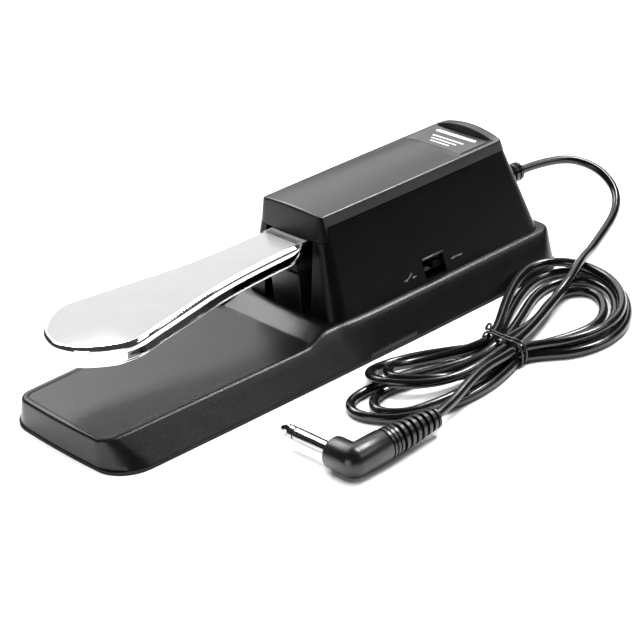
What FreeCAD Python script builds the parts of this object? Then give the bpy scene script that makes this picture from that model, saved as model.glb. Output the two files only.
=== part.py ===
import FreeCAD, Part
import math
import os
from FreeCAD import Vector, Placement, Rotation

doc = FreeCAD.newDocument("sustain_pedal")

# ---------------------------------------------------------------- driving dimensions (mm)
DIMS = {
    "sole_half_w": 44.65, "sole_half_len": 135.35, "sole_t": 1.5, "foot_inset": 0.25,
    "plate_z": 15.0, "plate_half_w": 33.0, "plate_front": 134.0, "recess_d": 0.6, "recess_inset": 2.4,
    "deck_z": 18.0, "deck_half_w": 36.0, "deck_front": -9.0, "deck_rear": 134.0, "wall": 2.6,
    "rim_r": 1.2, "bottom_t": 1.5, "ramp_front": -18.0, "ramp_half_w": 30.5,
    "hous_half_w": 33.0, "hous_front": -5.4, "hous_rear": 130.0, "hous_top": 59.0,
    "hous_top_half_w": 22.3, "hous_top_front": 1.73, "hous_top_rear": 119.3, "hous_wall": 2.4,
    "mouth_half_w": 16.5, "apron_z": 53.0, "lid_z": 64.5, "lid_half_w": 20.7, "lid_front": 2.6,
    "lid_rear": 117.6, "crown_front": 1.4, "crown_rear": 3.6, "label_y0": 88.0, "label_y1": 112.0,
    "label_z": 64.35, "window_y0": 52.2, "window_y1": 65.2, "window_z0": 18.9, "window_z1": 28.2,
    "lever_z": 52.26, "lever_tilt": 1.008, "lever_t": 1.5, "skirt_d": 8.0, "lever_rear": 105.0,
    "tongue_half_w": 12.4, "arm_half_w": 11.5, "arm_front": 12.0, "arm_d": 12.0,
    "pivot_y": 95.16, "pivot_z": 43.93, "axle_r": 3.0, "bush_gap": 0.03, "bush_r": 4.2,
    "cheek_in": 14.0, "cheek_out": 15.5, "tower_half_w": 10.0, "tower_y0": -4.6, "tower_y1": 8.0,
    "tower_z": 37.2, "bumper_z": 40.8, "spring_y": 45.0, "spring_r": 7.0, "spring_wire": 0.7,
    "spring_z0": 20.0, "spring_z1": 49.7, "board_z": 28.0, "board_t": 1.6, "cord_r": 2.2,
    "cord_z": 33.0, "boot_end": 146.0, "hank_z0": 0.8, "hank_h": 9.6, "plug_z": 7.3, "plug_r": 7.2,
    "sleeve_r": 3.175, "knob_y": 60.2, "knob_half": 1.5,
}
sheet = doc.addObject("Spreadsheet::Sheet", "dims")
for row, (alias, value) in enumerate(DIMS.items(), start=1):
    sheet.set(f"A{row}", alias)
    sheet.set(f"B{row}", str(value))
    sheet.setAlias(f"B{row}", alias)
doc.recompute()
D = {alias: float(sheet.get(alias)) for alias in DIMS}
NODES = []


# ---------------------------------------------------------------- helpers
def node(obj, label):
    """Register an object as one exported piece."""
    obj.Label = label
    NODES.append(obj)
    return obj


def bind(obj, prop, expression):
    obj.setExpression(prop, str(expression))


def box(name, x0, x1, y0, y1, z0, z1):
    """Box between expression bounds."""
    obj = doc.addObject("Part::Box", name)
    for prop, low, high in (("Length", x0, x1), ("Width", y0, y1), ("Height", z0, z1)):
        bind(obj, prop, f"({high}) - ({low})")
    for axis, low in (("x", x0), ("y", y0), ("z", z0)):
        bind(obj, f"Placement.Base.{axis}", low)
    return obj


def rod(name, x, y, z, radius, length, axis="z"):
    """Cylinder from a start point along +x, +y or +z."""
    obj = doc.addObject("Part::Cylinder", name)
    turn = {"z": Rotation(), "x": Rotation(Vector(0, 1, 0), 90), "y": Rotation(Vector(1, 0, 0), -90)}
    obj.Placement = Placement(Vector(), turn[axis])
    bind(obj, "Radius", radius)
    bind(obj, "Height", length)
    for letter, value in (("x", x), ("y", y), ("z", z)):
        bind(obj, f"Placement.Base.{letter}", value)
    return obj


def cone(name, x, y, z, r0, r1, length, axis="z"):
    obj = doc.addObject("Part::Cone", name)
    turn = {"z": Rotation(), "x": Rotation(Vector(0, 1, 0), 90), "y": Rotation(Vector(1, 0, 0), -90)}
    obj.Placement = Placement(Vector(), turn[axis])
    bind(obj, "Radius1", r0)
    bind(obj, "Radius2", r1)
    bind(obj, "Height", length)
    for letter, value in (("x", x), ("y", y), ("z", z)):
        bind(obj, f"Placement.Base.{letter}", value)
    return obj


def fuse(name, parts):
    obj = doc.addObject("Part::MultiFuse", name)
    obj.Shapes = parts
    obj.Refine = True
    return obj


def cut(name, base, tools):
    tool = tools[0] if len(tools) == 1 else fuse(name + "_tools", tools)
    obj = doc.addObject("Part::Cut", name)
    obj.Base = base
    obj.Tool = tool
    obj.Refine = True
    return obj


def group(label, parts):
    """Separate solids that share one node."""
    obj = doc.addObject("Part::Compound", label)
    obj.Links = parts
    return node(obj, label)


def new_body(label):
    return node(doc.addObject("PartDesign::Body", label), label)


def sketch(body, role, offset=0.0):
    sk = body.newObject("Sketcher::SketchObject", "outline")
    plane = [f for f in body.Origin.OriginFeatures if f.Role == role][0]
    sk.AttachmentSupport = (plane, [""])
    sk.MapMode = "FlatFace"
    sk.AttachmentOffset = Placement(Vector(0, 0, offset), Rotation())
    return sk


def add_polygon(sk, points):
    for a, b in zip(points, points[1:] + points[:1]):
        sk.addGeometry(Part.LineSegment(Vector(a[0], a[1], 0), Vector(b[0], b[1], 0)), False)


def add_circle(sk, x, y, r):
    sk.addGeometry(Part.Circle(Vector(x, y, 0), Vector(0, 0, 1), r), False)


def outline_points(hx, y0, y1, r0, r1, side_r=8132.0, end_r=592.0, side_cy=0.0):
    """Arcs of a bulged rounded rectangle: list of (start, middle, end)."""
    side_c = (hx - side_r, side_cy)
    front_c, rear_c = (0.0, y0 + end_r), (0.0, y1 - end_r)

    def corner(end_c, r, front):
        # centre of the circle of radius r that touches the side arc and the end arc from inside
        da, db = side_r - r, end_r - r
        dx, dy = end_c[0] - side_c[0], end_c[1] - side_c[1]
        gap = math.hypot(dx, dy)
        along = (da * da - db * db + gap * gap) / (2 * gap)
        off = math.sqrt(da * da - along * along)
        ux, uy = dx / gap, dy / gap
        picks = [(side_c[0] + along * ux - s * off * uy, side_c[1] + along * uy + s * off * ux)
                 for s in (-1, 1)]
        centre = min(picks, key=lambda p: p[1]) if front else max(picks, key=lambda p: p[1])

        def touch(c):
            vx, vy = centre[0] - c[0], centre[1] - c[1]
            n = math.hypot(vx, vy)
            return centre[0] + vx / n * r, centre[1] + vy / n * r

        a, b = touch(side_c), touch(end_c)
        mx, my = (a[0] + b[0]) / 2 - centre[0], (a[1] + b[1]) / 2 - centre[1]
        n = math.hypot(mx, my)
        return a, (centre[0] + mx / n * r, centre[1] + my / n * r), b

    fs, fm, fe = corner(front_c, r0, True)
    rs, rm, re = corner(rear_c, r1, False)

    def mirror(p):
        return -p[0], p[1]

    def on_side(y):
        return side_c[0] + math.sqrt(side_r ** 2 - (y - side_cy) ** 2), y

    mid = on_side((fs[1] + rs[1]) / 2)
    return [
        (fs, mid, rs), (rs, rm, re), (re, (0.0, y1), mirror(re)), (mirror(re), mirror(rm), mirror(rs)),
        (mirror(rs), mirror(mid), mirror(fs)), (mirror(fs), mirror(fm), mirror(fe)),
        (mirror(fe), (0.0, y0), fe), (fe, fm, fs),
    ]


def outline(body, z, hx, y0, y1, r0, r1, **kw):
    sk = sketch(body, "XY_Plane", z)
    for a, m, b in outline_points(hx, y0, y1, r0, r1, **kw):
        arc = Part.Arc(Vector(a[0], a[1], 0), Vector(m[0], m[1], 0), Vector(b[0], b[1], 0))
        sk.addGeometry(arc, False)
    return sk


def loft(body, kind, sketches):
    feat = body.newObject("PartDesign::" + kind, "loft")
    feat.Profile = sketches[0]
    feat.Sections = sketches[1:]
    feat.Ruled = True
    for sk in sketches:
        sk.Visibility = False
    body.Tip = feat
    return feat


def pad(body, sk, length, midplane=False, reverse=False):
    feat = body.newObject("PartDesign::Pad", "pad")
    feat.Profile = sk
    bind(feat, "Length", length)
    feat.Midplane = midplane
    feat.Reversed = reverse
    body.Tip = feat
    return feat


def pocket(body, sk, length, midplane=False, reverse=False):
    feat = body.newObject("PartDesign::Pocket", "pocket")
    feat.Profile = sk
    bind(feat, "Length", length)
    feat.Midplane = midplane
    feat.Reversed = reverse
    body.Tip = feat
    return feat


def fillet_where(body, radius, test):
    """Fillet every edge of the present tip whose bounding box passes the test."""
    doc.recompute()
    tip = body.Tip
    names = [f"Edge{i}" for i, e in enumerate(tip.Shape.Edges, start=1) if test(e.BoundBox)]
    feat = body.newObject("PartDesign::Fillet", "fillet")
    feat.Base = (tip, names)
    bind(feat, "Radius", radius)
    body.Tip = feat
    return feat


def mix(z, z0, z1, a, b):
    return a + (b - a) * (z - z0) / (z1 - z0)


def path_wire(points):
    """Straight runs joined by tangent arcs; returns the wire and the arc radii."""
    pts = [Vector(*p) for p in points]
    edges, radii, last = [], [], pts[0]
    for before, here, after in zip(pts, pts[1:], pts[2:]):
        a, b = before - here, after - here
        half = (math.pi - a.getAngle(b)) / 2
        reach = 0.45 * min(a.Length, b.Length)
        radius = reach / math.tan(half)
        radii.append(round(radius, 1))
        p0 = here + a.normalize() * reach
        p1 = here + b.normalize() * reach
        inward = (a + b).normalize()
        middle = here + inward * (radius / math.cos(half) - radius)
        edges.append(Part.LineSegment(last, p0).toShape())
        edges.append(Part.Arc(p0, middle, p1).toShape())
        last = p1
    edges.append(Part.LineSegment(last, pts[-1]).toShape())
    return Part.Wire(edges), radii


def tube(name, points, radius):
    """Round tube swept along a rounded route."""
    wire, radii = path_wire(points)
    spine = doc.addObject("Part::Feature", name + "_route")
    spine.Shape = wire
    ring = doc.addObject("Part::Circle", name + "_section")
    heading = Vector(*points[1]) - Vector(*points[0])
    ring.Placement = Placement(Vector(*points[0]), Rotation(Vector(0, 0, 1), heading))
    bind(ring, "Radius", radius)
    sweep = doc.addObject("Part::Sweep", name)
    sweep.Sections = [ring]
    sweep.Spine = (spine, [f"Edge{i + 1}" for i in range(len(wire.Edges))])
    sweep.Solid = True
    sweep.Frenet = False
    doc.recompute()
    wanted = math.pi * ring.Radius.Value ** 2 * wire.Length
    print(f"{name}: length {wire.Length:.1f} radii {radii} volume ratio {sweep.Shape.Volume / wanted:.4f}")
    return sweep


def screws(label, spots, z_head, head_r, head_h, shank_r, shank_len, upward):
    """Pan or countersunk screws standing on z_head; upward shanks point to +z."""
    parts = []
    for i, (x, y) in enumerate(spots):
        tag = f"{label}_{i}"
        if upward:
            head = cone(tag + "_head", x, y, z_head, head_r, shank_r, head_h)
            shank = rod(tag + "_shank", x, y, z_head + head_h, shank_r, shank_len)
            slot_z = z_head - 0.1
        else:
            head = rod(tag + "_head", x, y, z_head, head_r, head_h)
            shank = rod(tag + "_shank", x, y, z_head - shank_len, shank_r, shank_len)
            slot_z = z_head + head_h - 0.7
        arm = head_r * 0.55
        slot_a = box(tag + "_slot_a", x - arm, x + arm, y - 0.3, y + 0.3, slot_z, slot_z + 0.8)
        slot_b = box(tag + "_slot_b", x - 0.3, x + 0.3, y - arm, y + arm, slot_z, slot_z + 0.8)
        parts.append(cut(tag, fuse(tag + "_blank", [head, shank]), [slot_a, slot_b]))
    return group(label, parts)


# ---------------------------------------------------------------- base moulding
FOOT_Z = D["sole_t"]
FOOT_HW = D["sole_half_w"] - D["foot_inset"]
FOOT_HL = D["sole_half_len"] - D["foot_inset"]
FOOT_SCREWS = [(sx * 27.0, y) for sx in (-1, 1) for y in (-112.0, -30.0, 122.0)]
HOUSING_SCREWS = [(sx * 25.0, y) for sx in (-1, 1) for y in (14.0, 112.0)]
BRACKET_SCREWS = [(sx * 9.0, y) for sx in (-1, 1) for y in (83.4, 106.6)]
BOARD_SCREWS = [(-5.6, 57.4), (12.0, 73.8), (22.0, 73.8)]
CLAMP_SCREWS = [(-6.4, 113.5), (6.4, 113.5)]

base = new_body("base_shell")
loft(base, "AdditiveLoft", [
    outline(base, FOOT_Z, FOOT_HW, -FOOT_HL, 100, 17, 12, side_cy=0.0),
    outline(base, D["plate_z"], D["plate_half_w"], -D["plate_front"], 96, 7, 7),
])
inset = D["recess_inset"]
sk = outline(base, D["plate_z"], D["plate_half_w"] - inset, -D["plate_front"] + inset, 60, 5, 5)
pocket(base, sk, "dims.recess_d")
loft(base, "AdditiveLoft", [
    outline(base, FOOT_Z, FOOT_HW + 0.06, -32, FOOT_HL, 14, 17),
    outline(base, D["deck_z"], D["deck_half_w"], D["deck_front"], D["deck_rear"], 9, 7),
])
# concave ramp from the foot plate up to the deck
floor_z = D["plate_z"] - D["recess_d"]
run, rise = D["deck_front"] + 0.6 - D["ramp_front"], D["deck_z"] - floor_z
ramp_r = (run * run + rise * rise) / (2 * rise)
sk = sketch(base, "YZ_Plane")
half_turn = math.asin(run / ramp_r) / 2
start, stop = (D["ramp_front"], floor_z), (D["ramp_front"] + run, D["deck_z"])
middle = (D["ramp_front"] + ramp_r * math.sin(half_turn), floor_z + ramp_r * (1 - math.cos(half_turn)))
sk.addGeometry(Part.Arc(*[Vector(p[0], p[1], 0) for p in (start, middle, stop)]), False)
chain = [stop, (0.0, D["deck_z"]), (0.0, floor_z - 2), (D["ramp_front"], floor_z - 2), start]
for a, b in zip(chain, chain[1:]):
    sk.addGeometry(Part.LineSegment(Vector(a[0], a[1], 0), Vector(b[0], b[1], 0)), False)
pad(base, sk, "2 * dims.ramp_half_w", midplane=True)
fillet_where(base, "dims.rim_r", lambda b: (
    abs(b.ZMin - D["deck_z"]) < 0.01 and abs(b.ZMax - D["deck_z"]) < 0.01
    and b.YMax > 0 and (max(abs(b.XMin), abs(b.XMax)) > 30 or b.YMin > 120)))
# hollow underside
WALL = D["wall"] + 0.8
loft(base, "SubtractiveLoft", [
    outline(base, FOOT_Z, FOOT_HW - WALL, -FOOT_HL + WALL, 92, 14, 9),
    outline(base, floor_z - D["wall"], 31.6, -D["plate_front"] + WALL, 90, 5, 5),
])
loft(base, "SubtractiveLoft", [
    outline(base, FOOT_Z, FOOT_HW - WALL + 0.05, -20, FOOT_HL - WALL, 9, 14),
    outline(base, D["deck_z"] - D["wall"], 33.6, -4, D["deck_rear"] - WALL, 6, 5),
])
BOTTOM_TOP = FOOT_Z + D["bottom_t"]
for x, y in FOOT_SCREWS:
    sk = sketch(base, "XY_Plane", BOTTOM_TOP)
    add_circle(sk, x, y, 4.0)
    add_circle(sk, x, y, 1.4)
    pad(base, sk, (floor_z if y < 0 else D["deck_z"]) - 1.0 - BOTTOM_TOP)
sk = sketch(base, "XY_Plane", 8.0)
for x, y in BRACKET_SCREWS:
    add_circle(sk, x, y, 3.2)
pad(base, sk, 9.0)
# stop tower, board posts, clamp rib and spring seat rim stand on the deck
sk = sketch(base, "XY_Plane", floor_z)
t0, t1, tw = D["tower_y0"], D["tower_y1"], D["tower_half_w"]
add_polygon(sk, [(-tw, t0), (tw, t0), (tw, t1), (-tw, t1)])
pad(base, sk, "dims.tower_z - dims.plate_z + dims.recess_d")
sk = sketch(base, "XY_Plane", D["deck_z"] - 0.5)
for x, y in BOARD_SCREWS:
    add_circle(sk, x, y, 2.8)
pad(base, sk, "dims.board_z - dims.deck_z + 0.5")
sk = sketch(base, "XY_Plane", D["deck_z"] - 0.5)
add_polygon(sk, [(-9, 110.6), (9, 110.6), (9, 116.4), (-9, 116.4)])
pad(base, sk, "dims.cord_z - dims.deck_z + 0.3")
sk = sketch(base, "XY_Plane", D["deck_z"] + 60)
for x, y in BOARD_SCREWS + BRACKET_SCREWS + CLAMP_SCREWS:
    add_circle(sk, x, y, 1.15)
pocket(base, sk, 69.0)
sk = sketch(base, "XY_Plane", D["deck_z"] + 1)
for x, y in HOUSING_SCREWS:
    add_circle(sk, x, y, 1.8)
pocket(base, sk, 6.0)
sk = sketch(base, "XZ_Plane", -109.0)
add_circle(sk, 0, D["cord_z"], D["cord_r"] + 0.02)
pocket(base, sk, 9.0)

# ---------------------------------------------------------------- underside
sole = new_body("rubber_sole")
sk = outline(sole, 0.0, D["sole_half_w"], -D["sole_half_len"], D["sole_half_len"], 17, 17)
for x, y in FOOT_SCREWS:
    add_circle(sk, x, y, 3.8)
pad(sole, sk, "dims.sole_t")
sk = sketch(sole, "XY_Plane", 0.0)
for i in range(17):
    y = -112 + i * 14 + 3.5
    add_polygon(sk, [(-20, y), (20, y), (20, y + 3), (-20, y + 3)])
pocket(sole, sk, 0.6, reverse=True)

plate = new_body("bottom_plate")
sk = outline(plate, FOOT_Z, 38.6, -129.6, 129.6, 11, 11)
pad(plate, sk, "dims.bottom_t")
sk = sketch(plate, "XY_Plane", BOTTOM_TOP)
for x, y in FOOT_SCREWS:
    add_circle(sk, x, y, 1.7)
pocket(plate, sk, 5.0)
sk = sketch(plate, "XY_Plane", FOOT_Z)
for x, y in FOOT_SCREWS:
    add_circle(sk, x, y, 3.2)
pocket(plate, sk, 0.9, reverse=True)
screws("bottom_screws", FOOT_SCREWS, FOOT_Z, 2.9, 0.85, 1.3, 9.0, True)
screws("housing_screws", HOUSING_SCREWS, D["deck_z"] - D["wall"] - 1.4, 3.0, 1.3, 1.3, 14.0, True)

# ---------------------------------------------------------------- housing
def housing_outline(body, z, grow=0.0, r=8.0):
    z0, z1 = D["deck_z"], D["hous_top"]
    return outline(
        body, z, mix(z, z0, z1, D["hous_half_w"], D["hous_top_half_w"]) + grow,
        mix(z, z0, z1, D["hous_front"], D["hous_top_front"]) - grow,
        mix(z, z0, z1, D["hous_rear"], D["hous_top_rear"]) + grow,
        r, r, side_r=5000.0, end_r=260.0, side_cy=62.0)


house = new_body("housing_shell")
inner = -D["hous_wall"]
loft(house, "AdditiveLoft", [housing_outline(house, D["deck_z"], 0, 8.0),
                             housing_outline(house, D["hous_top"], 0, 4.5)])
loft(house, "SubtractiveLoft", [housing_outline(house, D["deck_z"] - 1, inner, 5.6),
                                housing_outline(house, D["hous_top"] + 1, inner, 2.2)])
sk = sketch(house, "XZ_Plane", 12.0)
mw = D["mouth_half_w"]
add_polygon(sk, [(-mw, 10), (mw, 10), (mw, 70), (-mw, 70)])
pocket(house, sk, 24.0)
sk = sketch(house, "YZ_Plane")
add_polygon(sk, [(-12, D["apron_z"] - 0.2), (5.1, D["apron_z"] - 0.2), (5.1, 70), (-12, 70)])
pocket(house, sk, 80.0, midplane=True)
sk = sketch(house, "YZ_Plane", 45.0)
add_polygon(sk, [(D["window_y0"], D["window_z0"]), (D["window_y1"], D["window_z0"]),
                 (D["window_y1"], D["window_z1"]), (D["window_y0"], D["window_z1"])])
pocket(house, sk, 25.0)
sk = sketch(house, "XZ_Plane", -112.0)
add_circle(sk, 0, D["cord_z"], 4.3)
pocket(house, sk, 25.0)
for x, y in HOUSING_SCREWS:
    sk = sketch(house, "XY_Plane", D["deck_z"])
    add_circle(sk, x, y, 3.2)
    add_circle(sk, x, y, 1.4)
    pad(house, sk, 15.0)

# ---------------------------------------------------------------- lid
lid = new_body("lid")
SEAM_Z = D["hous_top"] + 0.25
loft(lid, "AdditiveLoft", [housing_outline(lid, D["apron_z"], 0, 4.9),
                           housing_outline(lid, D["lid_z"], 0, 1.8)])
# crowned top, low at the front and high at the rear
LID_HALF = D["lid_half_w"] - 0.35
def crown_sketch(y, half, rise):
    sk = sketch(lid, "XZ_Plane", -y)
    z = D["lid_z"]
    sk.addGeometry(Part.Arc(Vector(half, z, 0), Vector(0, z + rise, 0), Vector(-half, z, 0)), False)
    low = z - 1.5
    for a, b in (((-half, z), (-half, low)), ((-half, low), (half, low)), ((half, low), (half, z))):
        sk.addGeometry(Part.LineSegment(Vector(a[0], a[1], 0), Vector(b[0], b[1], 0)), False)
    return sk


loft(lid, "AdditiveLoft", [crown_sketch(D["lid_front"] + 0.25, LID_HALF - 0.3, D["crown_front"]),
                           crown_sketch(D["lid_rear"] - 0.35, LID_HALF, D["crown_rear"])])
loft(lid, "SubtractiveLoft", [housing_outline(lid, D["apron_z"] - 0.5, inner, 2.4),
                              housing_outline(lid, D["lid_z"] - 2.2, inner, 2.2)])
sk = sketch(lid, "YZ_Plane")
add_polygon(sk, [(4.85, D["apron_z"] - 1), (140, D["apron_z"] - 1), (140, SEAM_Z), (4.85, SEAM_Z)])
pocket(lid, sk, 80.0, midplane=True)
sk = sketch(lid, "XY_Plane", D["lid_z"] + 8)
add_polygon(sk, [(-18.6, D["label_y0"]), (18.6, D["label_y0"]),
                 (18.6, D["label_y1"]), (-18.6, D["label_y1"])])
pocket(lid, sk, "8 + dims.lid_z - dims.label_z")
# ribs carry the up-stop pad
sk = sketch(lid, "XY_Plane", D["lid_z"] - 1.0)
add_polygon(sk, [(-11, 20), (11, 20), (11, 32), (-11, 32)])
pad(lid, sk, 6.9, reverse=True)
# snap tongues inside the housing walls
for x, y in ((-18.4, 30.0), (-18.4, 84.0), (16.8, 30.0), (16.8, 84.0)):
    sk = sketch(lid, "XY_Plane", D["lid_z"] - 1.0)
    add_polygon(sk, [(x, y), (x + 1.6, y), (x + 1.6, y + 9), (x, y + 9)])
    pad(lid, sk, 10.0, reverse=True)

node(box("up_stop_pad", -10.5, 10.5, 20.5, 31.5, "dims.lid_z - 10.1", "dims.lid_z - 7.9"), "up_stop_pad")
node(box("label_plate", -17.8, 17.8, "dims.label_y0 + 1.6", "dims.label_y1 - 1.6",
         "dims.label_z", "dims.label_z + 0.3"), "label_plate")

# ---------------------------------------------------------------- pedal lever and its arm
SPOON = [(13.0, -1.0), (13.6, -20.0), (14.5, -36.0), (16.4, -51.5), (19.3, -65.5), (22.3, -79.0),
         (25.1, -92.0), (27.3, -101.5), (27.2, -108.0), (24.3, -114.6), (19.2, -121.0),
         (12.0, -126.9), (0.0, -130.0)]
LEVER_PLACE = Placement(Vector(0, 0, D["lever_z"]), Rotation(Vector(1, 0, 0), D["lever_tilt"]))


def spoon_outline(body, z, inset, rear):
    right = [(x - inset, y) for x, y in SPOON[:9]]
    right += [(x * (1 - inset / 27.0), y + inset * 0.85) for x, y in SPOON[9:12]]
    right.append((0.0, SPOON[-1][1] + inset))
    right[0] = (right[0][0], rear)
    points = right + [(-x, y) for x, y in reversed(right[:-1])]
    curve = Part.BSplineCurve()
    curve.interpolate([Vector(x, y, 0) for x, y in points])
    sk = sketch(body, "XY_Plane", z)
    sk.addGeometry(curve, False)
    a, b = points[-1], points[0]
    sk.addGeometry(Part.LineSegment(Vector(a[0], a[1], 0), Vector(b[0], b[1], 0)), False)
    return sk


lever = new_body("pedal_lever")
lever.Placement = LEVER_PLACE
bind(lever, "Placement.Base.z", "dims.lever_z")
pad(lever, spoon_outline(lever, -D["skirt_d"], 0.0, -1.0), "dims.skirt_d")
fillet_where(lever, 1.7, lambda b: abs(b.ZMin) < 0.01 and abs(b.ZMax) < 0.01 and b.YMin < -50)
pocket(lever, spoon_outline(lever, -D["skirt_d"], D["lever_t"], 5.0),
       "dims.skirt_d - dims.lever_t", reverse=True)
sk = sketch(lever, "YZ_Plane")
end, low = -3.6, -D["skirt_d"]
bend = Part.Arc(Vector(end, -D["lever_t"], 0), Vector(end - 1.76, low + 1.9, 0), Vector(end - 6.0, low, 0))
sk.addGeometry(bend, False)
corner = [(end - 6.0, low), (end - 6.0, low - 2), (3.0, low - 2), (3.0, -D["lever_t"]), (end, -D["lever_t"])]
for a, b in zip(corner, corner[1:]):
    sk.addGeometry(Part.LineSegment(Vector(a[0], a[1], 0), Vector(b[0], b[1], 0)), False)
pocket(lever, sk, 60.0, midplane=True)
sk = sketch(lever, "XY_Plane", -D["lever_t"])
tw = D["tongue_half_w"]
add_polygon(sk, [(-tw, -4), (tw, -4), (tw, D["lever_rear"]), (-tw, D["lever_rear"])])
pad(lever, sk, "dims.lever_t")

PIVOT_LOCAL = LEVER_PLACE.inverse().multVec(Vector(0, D["pivot_y"], D["pivot_z"]))
arm = new_body("lever_arm")
arm.Placement = LEVER_PLACE
bind(arm, "Placement.Base.z", "dims.lever_z")
aw, web = D["arm_half_w"], -D["lever_t"]
sk = sketch(arm, "YZ_Plane")
add_polygon(sk, [(D["arm_front"], web), (D["lever_rear"], web), (D["lever_rear"], -13.0),
                 (101.0, -16.5), (88.0, -16.5), (82.0, -D["arm_d"]),
                 (D["arm_front"] + 4, -D["arm_d"]), (D["arm_front"], -8.0)])
pad(arm, sk, "2 * dims.arm_half_w", midplane=True)
sk = sketch(arm, "YZ_Plane")
add_polygon(sk, [(0, web - 1.5), (120, web - 1.5), (120, -30), (0, -30)])
pocket(arm, sk, "2 * dims.arm_half_w - 3", midplane=True)
sk = sketch(arm, "YZ_Plane")
add_circle(sk, PIVOT_LOCAL.y, PIVOT_LOCAL.z, D["bush_r"])
pocket(arm, sk, 60.0, midplane=True)
# striker for the contact leaf and guide for the spring top
sk = sketch(arm, "XY_Plane", web - 1.0)
add_polygon(sk, [(-1.6, 68), (1.6, 68), (1.6, 70.5), (-1.6, 70.5)])
pad(arm, sk, 5.2, reverse=True)
sk = sketch(arm, "XY_Plane", web - 1.0)
add_circle(sk, 0, D["spring_y"], 5.2)
pad(arm, sk, 5.0, reverse=True)
# rivets join the two pressings
rivets = []
for i, y in enumerate((20.0, 78.0)):
    for j, x in enumerate((-7.0, 7.0)):
        rivet = rod(f"rivet_{i}{j}", x, y, -4.2, 2.6, 1.2)
        rivets.append(rivet)
rivet_set = group("lever_rivets", rivets)
rivet_set.Placement = LEVER_PLACE
bind(rivet_set, "Placement.Base.z", "dims.lever_z")

# ---------------------------------------------------------------- pivot
bushes = []
for side in (-1, 1):
    inner_x = "dims.arm_half_w - 1.9" if side > 0 else "-dims.cheek_in + 0.4"
    flange_x = "dims.arm_half_w" if side > 0 else "-dims.cheek_in + 0.4"
    tube_len = "dims.cheek_in - 0.4 - dims.arm_half_w + 1.9"
    barrel = rod(f"bush_barrel{side}", inner_x, "dims.pivot_y", "dims.pivot_z", "dims.bush_r", tube_len, "x")
    flange = rod(f"bush_flange{side}", flange_x, "dims.pivot_y", "dims.pivot_z", "dims.bush_r + 2",
                 "dims.cheek_in - 0.4 - dims.arm_half_w", "x")
    bore = rod(f"bush_bore{side}", -20, "dims.pivot_y", "dims.pivot_z", "dims.axle_r + dims.bush_gap", 40, "x")
    bushes.append(cut(f"bush{side}", fuse(f"bush_blank{side}", [barrel, flange]), [bore]))
group("pivot_bushes", bushes)
node(rod("pivot_axle", "-dims.cheek_out - 2", "dims.pivot_y", "dims.pivot_z", "dims.axle_r",
         "2 * dims.cheek_out + 4", "x"), "pivot_axle")
clips = []
for side in (-1, 1):
    x = "dims.cheek_out + 0.3" if side > 0 else "-dims.cheek_out - 1.1"
    ring = rod(f"clip_ring{side}", x, "dims.pivot_y", "dims.pivot_z", "dims.axle_r + 2", 0.8, "x")
    bore = rod(f"clip_bore{side}", -20, "dims.pivot_y", "dims.pivot_z", "dims.axle_r", 40, "x")
    mouth = box(f"clip_mouth{side}", -20, 20, "dims.pivot_y - 1", "dims.pivot_y + 1", "dims.pivot_z - 6",
                "dims.pivot_z")
    clips.append(cut(f"clip{side}", ring, [bore, mouth]))
group("axle_clips", clips)

bracket = new_body("pivot_bracket")
sk = sketch(bracket, "YZ_Plane")
add_polygon(sk, [(80, 18), (110, 18), (110, 19.6), (102.5, 46), (99, 50), (91.5, 50), (88, 46), (80, 19.6)])
pad(bracket, sk, "2 * dims.cheek_out", midplane=True)
sk = sketch(bracket, "YZ_Plane")
add_polygon(sk, [(70, 19.6), (120, 19.6), (120, 60), (70, 60)])
pocket(bracket, sk, "2 * dims.cheek_in", midplane=True)
sk = sketch(bracket, "YZ_Plane")
add_circle(sk, D["pivot_y"], D["pivot_z"], D["axle_r"])
pocket(bracket, sk, 60.0, midplane=True)
sk = sketch(bracket, "XY_Plane", 19.6)
for x, y in BRACKET_SCREWS:
    add_circle(sk, x, y, 1.5)
pocket(bracket, sk, 3.0)
screws("bracket_screws", BRACKET_SCREWS, 19.6, 2.7, 1.8, 1.1, 9.5, False)

# ---------------------------------------------------------------- spring and stops
cup = fuse("spring_cup_body", [rod("cup_foot", 0, "dims.spring_y", "dims.deck_z", 10, 2),
                               rod("cup_post", 0, "dims.spring_y", "dims.deck_z + 2", 5.2, 7)])
node(cup, "spring_cup")
coil = doc.addObject("Part::Helix", "spring_path")
bind(coil, "Radius", "dims.spring_r")
bind(coil, "Pitch", "(dims.spring_z1 - dims.spring_z0 - 2 * dims.spring_wire) / 7")
bind(coil, "Height", "dims.spring_z1 - dims.spring_z0 - 2 * dims.spring_wire")
coil.Placement = Placement(Vector(0, 0, 0), Rotation())
bind(coil, "Placement.Base.y", "dims.spring_y")
bind(coil, "Placement.Base.z", "dims.spring_z0 + dims.spring_wire")
ring = doc.addObject("Part::Circle", "spring_section")
ring.Placement = Placement(Vector(), Rotation(Vector(1, 0, 0), 90))
bind(ring, "Radius", "dims.spring_wire")
bind(ring, "Placement.Base.x", "dims.spring_r")
bind(ring, "Placement.Base.y", "dims.spring_y")
bind(ring, "Placement.Base.z", "dims.spring_z0 + dims.spring_wire")
spring = doc.addObject("Part::Sweep", "spring")
spring.Sections = [ring]
spring.Spine = (coil, [])
spring.Solid = True
spring.Frenet = True
node(spring, "return_spring")
node(box("bumper", "-dims.tower_half_w + 1", "dims.tower_half_w - 1",
         "dims.tower_y0 + 1", "dims.tower_y1 - 1", "dims.tower_z", "dims.bumper_z"), "down_stop_bumper")

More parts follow.
